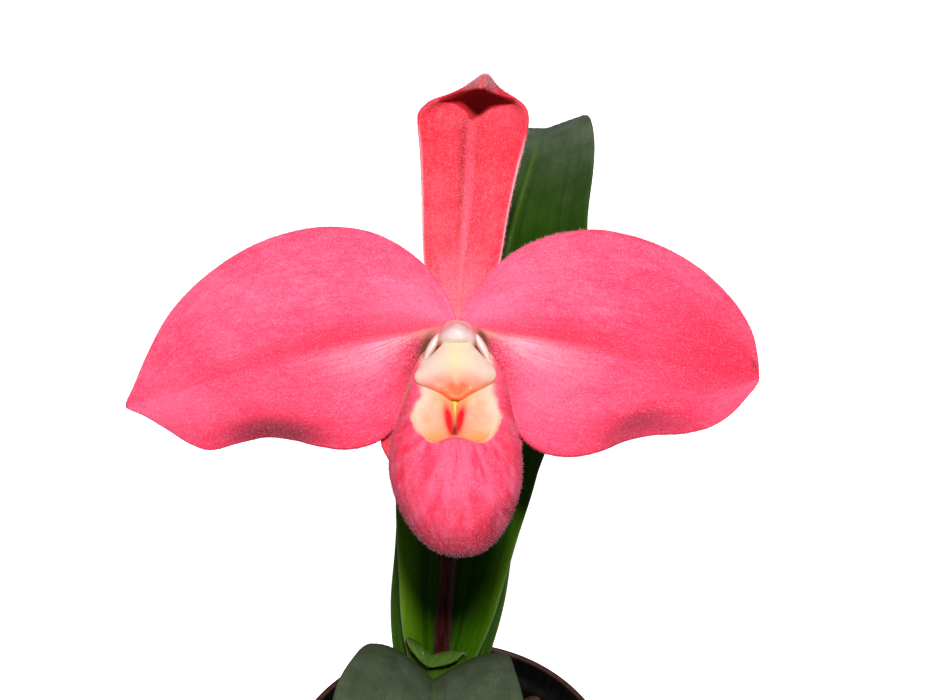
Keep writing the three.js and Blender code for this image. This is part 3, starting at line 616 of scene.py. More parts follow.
def piece(name, parts, material, slot, *replaces):
    """Makes one mesh object from parts; it stands for CAD nodes and rides on the plant."""
    points = np.concatenate([part["points"] for part in parts]) * MM
    starts = np.cumsum([0] + [len(part["points"]) for part in parts])
    faces = [group + start for part, start in zip(parts, starts) for group in part["faces"]]
    corners = np.concatenate([group.ravel() for group in faces])
    lengths = np.concatenate([np.full(len(group), group.shape[1]) for group in faces])
    mesh = bpy.data.meshes.new(name)
    mesh.vertices.add(len(points))
    mesh.vertices.foreach_set("co", points.astype(np.float32).ravel())
    mesh.loops.add(len(corners))
    mesh.loops.foreach_set("vertex_index", corners.astype(np.int32))
    mesh.polygons.add(len(lengths))
    mesh.polygons.foreach_set("loop_start", (np.cumsum(lengths) - lengths).astype(np.int32))
    mesh.update(calc_edges=True)
    mesh.shade_smooth()
    for key in sorted({k for part in parts for k in part["marks"]}):
        values = np.concatenate([
            part["marks"].get(key, np.zeros(len(part["points"]))) for part in parts])
        mesh.attributes.new(key, "FLOAT", "POINT").data.foreach_set(
            "value", values.astype(np.float32))
    mesh.materials.append(material)
    made = place(name, mesh)
    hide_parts(*replaces)
    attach(made, "root")
    return made


# ------------------------------------------------------------------ materials


def scaled(tone, by, plus=0.0):
    """A darker or, with plus, a paler tone."""
    return tuple(by * c + plus for c in tone)


class Look:
    """A node material around one Principled shader, its colour built up in layers."""

    def __init__(self, name, base, **sockets):
        self.base = base
        self.material = bpy.data.materials.new(name)
        self.material.use_nodes = True
        self.tree = self.material.node_tree
        self.tree.nodes.clear()
        output = self.tree.nodes.new("ShaderNodeOutputMaterial")
        self.shader = self.tree.nodes.new("ShaderNodeBsdfPrincipled")
        self.tree.links.new(self.shader.outputs[0], output.inputs[0])
        for key, value in sockets.items():
            self.shader.inputs[key.replace("_", " ")].default_value = value
        metres = self.node("TexCoord").outputs["Object"]
        self.mm = self.stretch(1 / MM, 1 / MM, 1 / MM, metres)

    def node(self, kind, inputs=(), **settings):
        """A new node; an input is a socket to link or a value."""
        made = self.tree.nodes.new("ShaderNode" + kind)
        for key, value in settings.items():
            setattr(made, key, value)
        named = inputs.items() if isinstance(inputs, dict) else enumerate(inputs)
        for key, value in named:
            if isinstance(value, bpy.types.NodeSocket):
                self.tree.links.new(value, made.inputs[key])
            else:
                made.inputs[key].default_value = value
        return made

    def mark(self, name):
        """The value of a mark of the piece, 0 where it has none."""
        return self.node("Attribute", attribute_name=name).outputs["Fac"]

    def times(self, *values):
        """The product of sockets and numbers."""
        return reduce(
            lambda a, b: self.node("Math", [a, b], operation="MULTIPLY").outputs[0], values)

    def stretch(self, x, y, z, source=None):
        """The place in mm, or another vector, scaled along its axes."""
        source = source or self.mm
        return self.node("VectorMath", [source, (x, y, z)], operation="MULTIPLY").outputs[0]

    def strip(self, along, across, t="t", s="s"):
        """Texture space of a blade: its t and s marks, scaled."""
        joined = self.node("CombineXYZ", [self.mark(t), self.mark(s), 0.0]).outputs[0]
        return self.stretch(along, across, 1, joined)

    def noise(self, source, scale=1.0, detail=3, rough=0.55):
        """Fractal noise, about 0.3 to 0.7 for the most part."""
        inputs = {"Vector": source, "Scale": scale, "Detail": detail, "Roughness": rough}
        return self.node("TexNoise", inputs).outputs[0]

    def cells(self, scale):
        """Distance and colour outputs of a cell pattern."""
        return self.node("TexVoronoi", {"Vector": self.mm, "Scale": scale}).outputs

    def band(self, value, low, high, top=1.0, bottom=0.0):
        """value eased from low..high to bottom..top."""
        inputs = [value, low, high, bottom, top]
        return self.node("MapRange", inputs, interpolation_type="SMOOTHSTEP").outputs[0]

    def mix(self, factor, a, b):
        """Colour a with b laid over it by factor."""
        a, b = (c if isinstance(c, bpy.types.NodeSocket) else (*c, 1) for c in (a, b))
        return self.node("MixRGB", [factor, a, b], blend_type="MIX").outputs[0]

    def lay(self, factor, tone, share=None):
        """Lays a tone over the colour so far; factor is a socket or the name of a mark."""
        if isinstance(factor, str):
            factor = self.mark(factor)
        if share is not None:
            factor = self.times(factor, share)
        self.base = self.mix(factor, self.base, tone)

    def show_colour(self):
        """Links the colour so far."""
        self.tree.links.new(self.base, self.shader.inputs["Base Color"])
        return self.material

    def finish(self, rough, *layers):
        """Links the colour, the roughness and bump layers of (height, mm deep, strength)."""
        self.tree.links.new(rough, self.shader.inputs["Roughness"])
        normal = None
        for height, distance, strength in layers:
            inputs = {"Height": height, "Distance": distance * MM, "Strength": strength}
            if normal:
                inputs["Normal"] = normal
            normal = self.node("Bump", inputs).outputs[0]
        self.tree.links.new(normal, self.shader.inputs["Normal"])
        return self.show_colour()


def velvet(name, deep, middle, pale, veins=(3, 26), vein_share=0.3, sheen=0.1, flecks=0.1,
           mottles=(26, 22), hair_tone=(0.88, 0.6, 0.66), glow=(0.12, 0.0008), gloss=0.2):
    """Hairy petal skin: mottled pink, veins along it, and whitish hairs and sparkles."""
    look = Look(name, middle, Sheen_Weight=sheen, Sheen_Roughness=0.45,
                Sheen_Tint=(1, 0.82, 0.86, 1), Specular_IOR_Level=gloss,
                Subsurface_Weight=glow[0], Subsurface_Scale=glow[1],
                Subsurface_Radius=(1.0, 0.4, 0.4))
    frost, maroon = scaled(pale, 0.45, 0.5), scaled(deep, 0.24)
    strip = look.strip(*veins)
    blotch = look.noise(look.stretch(0.14, 0.22, 0.22), 1.0, 4, 0.6)
    look.lay(look.band(blotch, 0.4, 0.68, 0.45), pale)
    clouds = look.noise(look.stretch(0.6, 1.2, 1.2), 1.0, 3, 0.65)
    look.lay(look.band(clouds, 0.46, 0.7, 0.4), pale)
    mottle = look.noise(look.strip(*mottles), 1.0, 2, 0.6)
    look.lay(look.band(mottle, 0.47, 0.7, 0.4), pale)
    look.lay(look.band(look.noise(strip), 0.45, 0.68, vein_share), deep)
    # deep: the blades' own deeper red, with painted shade along the petals' folds and beside the
    # pouch, under the sepal's hooded tip, on the lower sepals and at the pouch's sides.
    look.lay("deep", deep)
    # pale: paler zones, with painted light on the middle of the pouch's front.
    look.lay("pale", pale)
    streaks = look.noise(look.strip(veins[0] * 2, veins[1] * 1.6), 1.0, 3, 0.7)
    streaks = look.band(streaks, 0.35, 0.62, 1, 0.35)
    # frost: the sepal's frosted margins, and a painted highlight just below each petal's fold.
    look.lay(look.times(look.mark("frost"), streaks), frost)
    grain = look.noise(look.mm, 3.0, 3, 0.75)
    fleck = look.noise(look.mm, 3.9, 2, 0.6)
    front = look.band(look.mark("under"), 0.4, 1.0, 0, 1)
    # Maroon where the dark mark is, on the front only: the sepal's furrows and darker zones of the
    # petals, and painted shade on the petals' rolled-back margins, the lower sepals and the pouch's
    # underside.
    look.lay(look.times(look.mark("dark"), front, look.band(grain, 0.36, 0.6, 1, 0.25)), maroon)
    look.lay(look.band(grain, 0.5, 0.68, 0.5), deep)
    look.lay(look.band(fleck, 0.52, 0.7, flecks), frost)
    look.lay(look.times(look.mark("green"), look.band(grain, 0.3, 0.6, 1, 0.6)), (0.66, 0.26, 0.2))
    distance, tint = look.cells(4.2)[:2]
    chosen = look.band(look.node("SeparateColor", [tint]).outputs[0], 0.4, 0.7)
    look.lay(look.times(look.band(distance, 0.12, 0.3, 0, 1), chosen), frost, 0.35)
    look.lay("under", deep, 0.35)
    hair = look.times(look.mark("hair"), look.band(look.mark("deep"), 0.2, 1.0, 0.4, 0.7))
    look.lay(hair, hair_tone)
    # Painted shade: deep maroon under the sepal's hooded tip, on the front face only.
    look.lay(look.times(look.mark("shade"), front), (0.38, 0.001, 0.004))
    # Painted shadow: dark olive-brown on the petals beside the anther pods.
    look.lay("wedge", (0.1, 0.04, 0.012))
    look.finish(look.band(grain, 0.2, 0.8, 0.8, 0.55), (blotch, 0.4, 0.3),
                (look.noise(strip, 1.0, 2), 0.2, 0.3), (clouds, 0.12, 0.35), (grain, 0.09, 0.6))
    return look


def lip_look():
    """The velvet of the pouch, with rays below its mouth and cream side lobes."""
    deep, pale = (0.84, 0.022, 0.065), (0.9, 0.13, 0.24)
    look = velvet("lip skin", deep, (0.88, 0.065, 0.14), pale, veins=(2.0, 9), vein_share=0.0,
                  sheen=0.05, mottles=(30, 5), hair_tone=(0.9, 0.6, 0.72), glow=(0.4, 0.002),
                  gloss=0.04)
    around = look.node("CombineXYZ", [look.mark(k) for k in ("ca", "sa", "t")]).outputs[0]
    rays = look.noise(look.strip(7, 1.0, "fan", "fall"), 1.0, 3, 0.6)
    look.lay(look.times(look.mark("rays"), look.band(rays, 0.5, 0.64, 0.6)), deep)
    look.lay(look.times(look.mark("rays"), look.band(rays, 0.5, 0.36, 0.65)), pale)
    lobe_rays = look.noise(look.stretch(9, 9, 1, around))
    cloud = look.band(look.noise(look.mm, 0.55), 0.4, 0.7, 0.6)
    cream = look.mix(cloud, (0.72, 0.44, 0.31), (0.74, 0.3, 0.17))
    cream = look.mix(look.band(lobe_rays, 0.5, 0.68, 0.3), cream, (0.76, 0.26, 0.2))
    cream = look.mix(look.times(look.mark("milky"), 0.7), cream, (0.78, 0.56, 0.44))
    look.lay("cream", cream)
    look.lay("amber", (0.8, 0.24, 0.05))
    look.lay("yellow", (0.85, 0.5, 0.09))
    look.lay("red", (0.8, 0.012, 0.018))
    # brown is partly painted shadow behind the left anther pod; olive is painted shade beside the
    # left petal.
    look.lay("brown", (0.16, 0.03, 0.01))
    look.lay("olive", (0.5, 0.4, 0.13))
    return look.show_colour()


def wax(name, base, rough, **marks):
    """Smooth waxy skin with soft blends of colour by mark."""
    look = Look(name, base, Subsurface_Weight=0.35, Subsurface_Radius=(1.0, 0.5, 0.3),
                Subsurface_Scale=0.0012, Coat_Weight=0.15)
    cloud = look.noise(look.mm, 0.9, 4)
    look.lay(look.band(cloud, 0.35, 0.7, 0.45), scaled(base, 0.86))
    for mark, tone in marks.items():
        look.lay(mark, tone)
    return look.finish(look.band(cloud, 0.3, 0.7, rough[1], rough[0]), (cloud, 0.12, 0.3),
                       (look.noise(look.mm, 5), 0.03, 0.4))


def leaf_look(name, dark, fresh, bloom, wrinkles=0.2):
    """Leathery strap leaf: parallel veins, young green at its foot, partly painted light, and a
    painted grey sheen above.
    """
    look = Look(name, dark, Specular_IOR_Level=0.04, Subsurface_Weight=0.06,
                Subsurface_Radius=(0.3, 1.0, 0.1), Subsurface_Scale=0.001)
    fine = look.noise(look.strip(2.5, 34), 1.0, 4, 0.7)
    broad = look.noise(look.strip(1.2, 7), 1.0, 2)
    cross = look.noise(look.strip(130, 9), 1.0, 2)
    cloud = look.noise(look.mm, 0.16, 4)
    look.lay(look.band(cloud, 0.35, 0.7), scaled(dark, 1.35))
    # Young green at the foot, painted lighter where the lamp strikes the tall leaf.
    look.lay("fresh", fresh)
    look.lay(look.band(broad, 0.45, 0.62, 0.42), scaled(dark, 0.5))
    look.lay(look.band(fine, 0.5, 0.68, 0.4), scaled(dark, 0.55))
    look.lay(look.times(look.band(cross, 0.52, 0.68, wrinkles), look.band(cloud, 0.35, 0.6)), bloom)
    # Painted reflection: a grey sky sheen where the leaf turns up.
    look.lay(look.times(look.mark("bloom"), look.band(cloud, 0.3, 0.7, 1, 0.5)), bloom)
    look.lay("under", scaled(fresh, 1.5, 0.01), 0.5)
    look.lay("rib", (0.075, 0.14, 0.01))
    # Painted light: yellow-green where the lamp strikes the tall leaf's margins.
    look.lay("lit", (0.13, 0.28, 0.01))
    look.lay("edge", (0.26, 0.28, 0.14))
    grain = look.noise(look.mm, 2.2, 3, 0.7)
    look.lay(look.band(grain, 0.5, 0.75, 0.35), scaled(dark, 0.5))
    look.lay(look.times(look.band(grain, 0.48, 0.25, 0.35), look.mark("bloom")), bloom)
    look.lay(look.band(look.cells(0.22)[0], 0.03, 0.055, 0, 1), (0.4, 0.4, 0.28), 0.5)
    return look.finish(look.band(cloud, 0.3, 0.7, 0.56, 0.4), (broad, 0.3, 0.5), (fine, 0.1, 0.6),
                       (cross, 0.03, 0.4))


def stem_look():
    """Dark purple skin, streaked along the stem."""
    look = Look("stem skin", (0.022, 0.001, 0.002), Sheen_Weight=0.02, Sheen_Roughness=0.4,
                Specular_IOR_Level=0.12)
    streak = look.noise(look.stretch(2.6, 2.6, 0.12), 1.0, 4)
    look.lay(look.band(streak, 0.4, 0.62), (0.075, 0.006, 0.009))
    look.lay("t", (0.045, 0.03, 0.01), 0.2)
    look.lay("hair", (0.3, 0.07, 0.09), 0.6)
    return look.finish(look.band(streak, 0.3, 0.7, 0.65, 0.45), (streak, 0.15, 0.6),
                       (look.noise(look.mm, 4), 0.05, 0.5))


def ovary_look():
    """Green and purple patches, with purple ribs."""
    look = Look("ovary skin", (0.05, 0.07, 0.018), Sheen_Weight=0.3, Sheen_Roughness=0.4,
                Specular_IOR_Level=0.35)
    patch = look.noise(look.mm, 0.5, 4)
    look.lay(look.band(patch, 0.4, 0.6), (0.13, 0.03, 0.035))
    look.lay("rib", (0.2, 0.04, 0.05))
    look.lay("hair", (0.6, 0.42, 0.42), 0.8)
    return look.finish(look.band(patch, 0.3, 0.7, 0.7, 0.5), (patch, 0.2, 0.5),
                       (look.noise(look.mm, 4), 0.05, 0.5))


def pot_look():
    """Black plastic with scuffs along the wall, a faint dusting, and a painted reddish-brown
    highlight along the rim's crest.
    """
    look = Look("black pot plastic", (0.002, 0.002, 0.002), Specular_IOR_Level=0.16)
    scuff = look.noise(look.stretch(0.9, 0.9, 0.12), 1.0, 5, 0.7)
    grain = look.noise(look.mm, 6)
    dust_and_glint = look.noise(look.mm, 0.35, 5, 0.7)
    look.lay(look.band(scuff, 0.45, 0.7, 0.6), (0.005, 0.0045, 0.004))
    look.lay(look.band(dust_and_glint, 0.5, 0.75), (0.05, 0.04, 0.03), 0.1)
    # Painted highlight: a thin reddish-brown line of light along the rim's crest, broken up by the
    # same noise as the dusting.
    look.lay(look.times(look.mark("lip"), look.band(dust_and_glint, 0.3, 0.65, 0.9, 0.35)),
             (0.07, 0.026, 0.016))
    return look.finish(look.band(scuff, 0.35, 0.7, 0.6, 0.38), (scuff, 0.2, 0.3),
                       (grain, 0.04, 0.35))


def bark_look(name, pale):
    """Layered, fibrous bark; the mark tone makes it paler."""
    look = Look(name, (0.026, 0.012, 0.007), Specular_IOR_Level=0.25)
    layers = look.noise(look.stretch(0.5, 0.5, 2.6), 1.0, 5, 0.65)
    fibre = look.noise(look.stretch(1.6, 0.5, 1.6), 1.0, 5, 0.7)
    look.lay("tone", pale)
    look.lay(look.band(layers, 0.42, 0.66, 0.6), (0.17, 0.085, 0.045))
    look.lay(look.band(fibre, 0.5, 0.72, 0.7), (0.014, 0.008, 0.006))
    return look.finish(look.band(layers, 0.3, 0.7, 0.95, 0.75), (layers, 0.6, 0.6),
                       (fibre, 0.35, 0.7))


def crown_look():
    """Fibrous green and brown crown with paler roots."""
    look = Look("crown and root skin", (0.16, 0.18, 0.06), Specular_IOR_Level=0.3)
    fibre = look.noise(look.stretch(1.4, 1.4, 0.25), 1.0, 5, 0.7)
    look.lay(look.band(fibre, 0.38, 0.66), (0.24, 0.15, 0.08))
    look.lay("root", (0.28, 0.2, 0.12))
    look.lay("hair", (0.4, 0.32, 0.22), 0.6)
    return look.finish(look.band(fibre, 0.3, 0.7, 0.85, 0.55), (fibre, 0.5, 0.7))


# ------------------------------------------------------------------ leaves


def rounded(distance, edge):
    """Share of full thickness at a distance from the rim, rounding off within edge."""
    return np.sqrt(1 - (1 - np.clip(distance / edge, 0, 1)) ** 2)


def make_leaf(name, node, material, slot, seed, fresh, bloom, pale_edge, grid=(170, 48), rib=0.75,
              lit=((0, 0), (1, 0)), dim=0.0):
    """A strap leaf, with shares of colours along it: young green at the foot, partly painted light;
    a painted grey sheen; a pale edge; and painted light on the margins. dim is the share of a
    painted shadow across the young green.
    """
    leaf = LEAVES[node]
    t, s = rows_and_columns(*grid)
    p = leaf_surface(leaf, t, s)
    normal = grid_normals(p)
    edge = np.abs(s)
    width = profile(leaf["halfWidth"], t)
    length = Curve(leaf["spine"]).length
    across, from_rim = edge * width, (1 - edge) * width
    wave = bumps(p, 0.045, seed) * 0.6 * smooth(edge, 0.35, 1) * smooth(t, 0.08, 0.3)
    ribs = 0.035 * np.cos(across * 5.2 + 2 * bumps(p, 0.03, seed + 4)) * smooth(across, 0.6, 2)
    p = p + normal * (wave + ribs)[..., None]
    half = LEAF_THICKNESS / 2 * (0.72 + 0.28 * bell(across, 4))
    half = half * rounded(from_rim, 0.7) * rounded((1 - t) * length, 0.8)
    half = half * rounded(t * length + 0.2, 0.5)
    # Painted shadow of the flower across the tall leaf, taking away its lit green.
    shaded = dim * smooth(s, 0.1, 0.7) * bell(t - 0.345, 0.085)
    # Painted light along the margins that the lamp strikes, mostly on the left.
    sides = np.where(s < 0, smooth(-s, 0.55, 0.97), 0.35 * smooth(s, 0.8, 0.98))
    part = sheet_part(p, half, {
        "t": t,
        "s": s,
        "fresh": profile(fresh, t) * (0.6 + 0.4 * smooth(edge, 0.15, 0.7)) * (1 - shaded),
        "bloom": profile(bloom, t),
        "lit": profile(lit, t) * sides,
        "rib": rib * bell(across, 0.15) * (1 - 0.35 * t),
        "edge": 0.8 * smooth(from_rim, 0.22, 0.03) * profile(pale_edge, t),
    })
    keel = 0.55 * bell(across, 0.9) * (1 - 0.6 * t) * rounded(from_rim, 1.5)
    inner = np.zeros_like(t, bool)
    inner[1:-1, 1:-1] = True
    shift = keel[inner][:, None] * normal[inner]
    if leaf["upper"] < 0:
        part["points"][t.size:] -= shift
    else:
        part["points"][:t.size][inner.ravel()] += shift
        part["marks"]["under"] = 1 - part["marks"]["under"]
    piece(name, [part], material, slot, node)


def make_leaves():
    """The four leaves; returns the look of the young one."""
    old = leaf_look("old leaf", (0.014, 0.04, 0.0015), (0.047, 0.155, 0.001),
                    (0.14, 0.165, 0.115), 0.03)
    near = leaf_look("arching leaf", (0.042, 0.063, 0.028), (0.05, 0.1, 0.006),
                     (0.115, 0.134, 0.09), 0.5)
    young = leaf_look("young leaf", (0.048, 0.1, 0.008), (0.06, 0.15, 0.004),
                      (0.075, 0.096, 0.055))
    make_leaf(
        "tall_leaf", "leaf_back_tall", old, "leaf_dark", seed=2,
        fresh=((0, 1), (0.22, 0.95), (0.32, 0.5), (0.42, 0.22), (0.6, 0.12), (0.75, 0.03), (1, 0)),
        bloom=((0, 0), (0.66, 0), (0.74, 0.02), (0.79, 0.22), (0.84, 0.7), (0.9, 1), (1, 0.8)),
        pale_edge=((0, 0.8), (0.35, 0.7), (0.45, 0.15)),
        lit=((0, 0.3), (0.2, 0.5), (0.31, 1), (0.38, 0.5), (0.48, 0), (0.58, 0), (0.66, 0.25),
             (0.74, 0)),
        dim=0.82)
    make_leaf(
        "outer_leaf", "leaf_back_outer", old, "leaf_dark", seed=3,
        fresh=((0, 0.8), (0.3, 0.35), (0.6, 0)), bloom=((0, 0), (0.3, 0.06), (0.6, 0.18), (1, 0.2)),
        pale_edge=((0, 0.3), (1, 0.2)))
    make_leaf(
        "arching_leaf", "leaf_front_arching", near, "leaf_dark", seed=4, rib=0.3,
        fresh=((0, 0.9), (0.2, 0.5), (0.4, 0.1), (1, 0)),
        bloom=((0, 0), (0.2, 0.2), (0.35, 0.45), (1, 0.45)),
        pale_edge=((0, 0.5), (0.4, 0.6), (1, 0.4)))
    make_leaf(
        "young_leaf_in_crown", "leaf_inner_young", young, "leaf_young", seed=5, grid=(110, 40),
        fresh=((0, 1), (0.5, 0.6), (0.8, 0.3), (1, 0.25)),
        bloom=((0, 0), (0.7, 0.05), (0.85, 0.15), (1, 0.15)),
        pale_edge=((0, 0.3), (0.6, 0.5), (1, 0.9)))
    return young


# ------------------------------------------------------------------ stem, bract and ovary


def from_flower(u, v, w):
    """A point of the flower's frame as a point of the plant's."""
    return tuple(to_plant(np.array([u, v, w], float)))


STEM = Curve((
    (CROWN_X, 1, CROWN_TOP + 0.3), (-1.9, 1, 75), (-1.2, 0.8, 95), (0.1, 0.8, 120),
    (1, 1.4, 142), (1.5, 2.6, 158), (1.6, 3.2, 165),
))
OVARY = Curve((
    (1.58, 3.15, 163.9), (1.61, 2.65, 166), from_flower(-0.3, 0, -21), from_flower(-0.1, 0, -13),
    from_flower(0, -0.2, -3.1),
))


def tube(curve, rows, sides, radius_at):
    """Rings around a curve; radius_at(t, angle) is their radius."""
    t, k = np.meshgrid(np.linspace(0, 1, rows + 1), circle(sides), indexing="ij")
    tangent = curve.tangent(t[:, 0])
    first = unit(np.cross(tangent, np.array([1.0, 0, 0])))
    second = np.cross(tangent, first)
    middle = curve.at(t[:, 0])[:, None]
    p = middle + radius_at(t, k)[..., None] * (
        first[:, None] * np.cos(k)[..., None] + second[:, None] * np.sin(k)[..., None])
    return p, unit(p - middle), t, k


def hairy_tube(ring, marks, density, length, rng, lean=0.4):
    """The parts of a closed tube with hairs on it; ring is what tube returns."""
    p, outward, t, _ = ring
    return [
        ring_part(p, marks),
        hair_part(p, outward, marks, density + 0 * t, length, rng, STEM_HAIR_RADIUS, lean, True),
    ]


def make_stem(young, rng):
    """The stem, the ovary above it and the sheath at the ovary's foot."""
    def stem_radius(t, k):
        joint = 0.12 * bell(t - 0.42, 0.012)
        return STEM_RADIUS * (1 - 0.05 * t) + 0.05 * np.cos(5 * k + 4 * t) + joint

    ring = tube(STEM, 150, 26, stem_radius)
    *_, t, k = ring
    parts = hairy_tube(ring, {"t": t, "s": np.cos(k)}, 3.6 * smooth(t, 0.02, 0.1), 0.42, rng)
    piece("hairy_flower_stem", parts, stem_look(), "stem_purple", "flower_stem")

    radius = ((0, 0.95), (0.07, 1.25), (0.22, 1.7), (0.5, 2.05), (0.85, 1.95), (1, 2.3))

    def ovary_radius(t, k):
        rib = np.cos(3 * k + 1.2 * t)
        return profile(radius, t) * (1 + 0.09 * rib + 0.04 * np.cos(6 * k + 2.4 * t))

    ring = tube(OVARY, 90, 72, ovary_radius)
    *_, t, k = ring
    marks = {"t": t, "rib": smooth(np.cos(3 * k + 1.2 * t), 0.3, 1)}
    parts = hairy_tube(ring, marks, 6.0, 0.4, rng)
    piece("ribbed_ovary", parts, ovary_look(), "ovary_skin", "ovary")

    t, s = rows_and_columns(70, 50)
    angle = math.pi / 2 + s * profile(((0, 2.5), (0.5, 1.7), (0.85, 0.8), (1, 0.15)), t)
    crumple = bumps(np.stack([s * 3, t * 6, 0 * t], -1), 1, 6)
    around = STEM_RADIUS + BRACT_CLEARANCE + 1.6 * t + 0.12 * crumple
    p = STEM.at(0.84 + 0.16 * t)
    p = p + np.stack([around * np.cos(angle), around * np.sin(angle), 7 * t ** 2], -1)
    half = 0.35 * rounded(1 - np.abs(s), 0.1) * rounded(1 - t, 0.05)
    marks = {"t": t, "s": s, "fresh": 0.7 - 0.3 * t, "bloom": 0.1, "rib": 0.5 * bell(s, 0.04),
             "edge": 0.6 * smooth(np.abs(s), 0.94, 1)}
    piece("floral_bract_sheath", [outward_faces(sheet_part(p, half, marks))], young, "leaf_young",
          "floral_bract")


# ------------------------------------------------------------------ petals and sepals
#
# Marks and shapes are functions of p, t and s: points in the flower's frame, t along the
# blade and s across it. Hair densities are functions of t and s, in hairs to a square mm.


def make_blade(name, node, blade, material, slot, marks_of, shape_of, rng, grid, front_hair,
               back_hair, crease=0.05):
    """A petal or sepal: a thin closed sheet with fine hairs on both faces and along its rim."""
    t, s = rows_and_columns(*grid)
    s = s[:, ::-1]
    p = blade_surface(blade, t, s, crease)
    p[..., 2] += shape_of(p, t, s)
    widths = np.linalg.norm(p[:, -1] - p[:, 0], axis=1)[:, None] / 2
    length = Curve(blade["midrib"]).length
    half = BLADE_THICKNESS / 2 * rounded((1 - np.abs(s)) * widths, 0.45)
    half = half * rounded((1 - t) * length, 0.5) * rounded(t * length + 0.1, 0.4)
    marks = {"t": t, "s": s, **marks_of(p, t, s)}
    marks = {k: np.broadcast_to(v, t.shape) for k, v in marks.items()}
    world = to_plant(p)
    normal = grid_normals(world)
    lifted = normal * half[..., None]
    behind = {**marks, "under": np.ones_like(t)}
    parts = [
        outward_faces(sheet_part(world, half, marks)),
        hair_part(world + lifted, normal, marks, front_hair(t, s), 0.3, rng),
        hair_part(world - lifted, -normal, behind, back_hair(t, s), 0.34, rng),
    ]
    for j, inner in ((0, 2), (-1, -3)):
        line = world[:, j]
        count = int(np.linalg.norm(np.diff(line, axis=0), axis=1).sum() * RIM_HAIRS_PER_MM)
        row = np.sort(rng.random(count)) * (len(line) - 1)
        i = np.minimum(row.astype(int), len(line) - 2)
        f = (row - i)[:, None]
        root = line[i] * (1 - f) + line[i + 1] * f
        out = unit(line[i] - world[i, inner])
        read = {k: v[i, j] for k, v in marks.items()}
        parts.append(hairs_at(root, out, read, 0.38, rng, HAIR_RADIUS, 1.1))
    piece(name, parts, material, slot, node)


def petal_marks(upper, tone):
    """Marks of a petal whose upper half is where s has the sign of upper."""

    def marks_of(p, t, s):
        u, v, _ = np.moveaxis(p, -1, 0)
        side, edge = s * upper, np.abs(s)
        over = np.maximum(beside(u, v, *tone["base_line"]), 0)
        # Painted shade along the fold: crisp, crease and line deepen the red just above the midrib,
        # where the upper half turns down from the lamp.
        crisp = smooth(side, 0.03 - 0.27 * t, 0.1 - 0.03 * t)
        crease = bell(np.maximum(side - 0.16 + 0.2 * t, 0), 0.17) * crisp
        crease *= profile(((0, 0.1), (0.08, 0.6), (0.35, 0.8), (0.6, 0.6), (0.8, 0.4), (1, 0.3)), t)
        line = bell(side - 0.12 + 0.16 * t, 0.035) * profile(
            ((0, 0), (0.08, 0.2), (0.2, 0.7), (0.4, 0.8), (0.7, 0.5), (1, 0.3)), t)
        rim = np.where(side > 0, 0.2, 0.95) * smooth(edge, 0.9, 1) * smooth(t, 0.08, 0.25)
        tip = smooth(t, 0.36, 0.8) * smooth(side, -0.7, -0.2) * (1 - 0.6 * smooth(side, 0.5, 0.85))
        top = smooth(side, 0.45, 0.85) * smooth(t, 0.05, 0.15) * smooth(t, 0.7, 0.5)
        outer = smooth(t, 0.2, 0.5) * smooth(t, *tone["outer_end"]) * smooth(-side, -0.08, 0.15)
        low = smooth(-side, 0.3, 0.9) * profile(tone["low"], t)
        # Painted shade on the lower half beside the pouch, where its margin curves back from the
        # lamp.
        near = bell(over, 3.6) * smooth(v, -16, -9) * smooth(-side, 0.3, 0.7)
        glow = bell(side - 0.45, 0.28) * profile(((0, 0.8), (0.1, 1), (0.3, 0.2), (0.42, 0)), t)
        # Painted highlight: a pale band just below the fold near the foot, where the lower half
        # faces the lamp.
        frost = bell(side + 0.12, 0.19) * smooth(side, 0.1, 0.03) * (1 - 0.9 * bell(over, 3.2))
        frost *= profile(((0, 0.1), (0.06, 0.5), (0.13, 1), (0.28, 0.4), (0.5, 0)), t)
        inner = bell(over, tone["inner_reach"] + 1.3 * smooth(v, -5, -1.5))
        inner *= smooth(v, -10.5, -5) * smooth(v, 0, -1.2) * smooth(-side, 0, 0.25)
        return {
            "deep": most(crease, line, rim, tone["tip"] * tip, 0.2 * top, tone["outer"] * outer,
                         low, tone["near"] * near, *spots(u, v, tone["deep_spots"])),
            "pale": most(0.8 * glow, 0.5 * smooth(t, 0.12, 0.02) * smooth(side, -0.1, 0.1),
                         0.35 * smooth(t, 0.75, 0.95) * smooth(-side, 0.25, 0.6),
                         *spots(u, v, tone["pale_spots"])),
            # The patch term of dark is painted shade where the lower margin rolls back from the
            # lamp.
            "dark": np.clip(most(
                tone["shade_patch_share"] * spot(u, v, *tone["patch"]) * smooth(-side, 0.3, 0.7),
                0.4 * smooth(-side, 0.93, 1) * smooth(t, 0.1, 0.3), tone["inner"] * inner,
                *spots(u, v, tone["dark_spots"])), 0, 1),
            "frost": tone["frost"] * frost,
            "green": 0.85 * spot(u, v, (-4.2 * upper, -0.7), (2.4, 0.75), 8 * upper),
            # Painted shadow on the petal beside its anther pod.
            "wedge": np.clip(1.2 * spot(u, v, *tone["wedge"]), 0, 0.95),
        }
    return marks_of


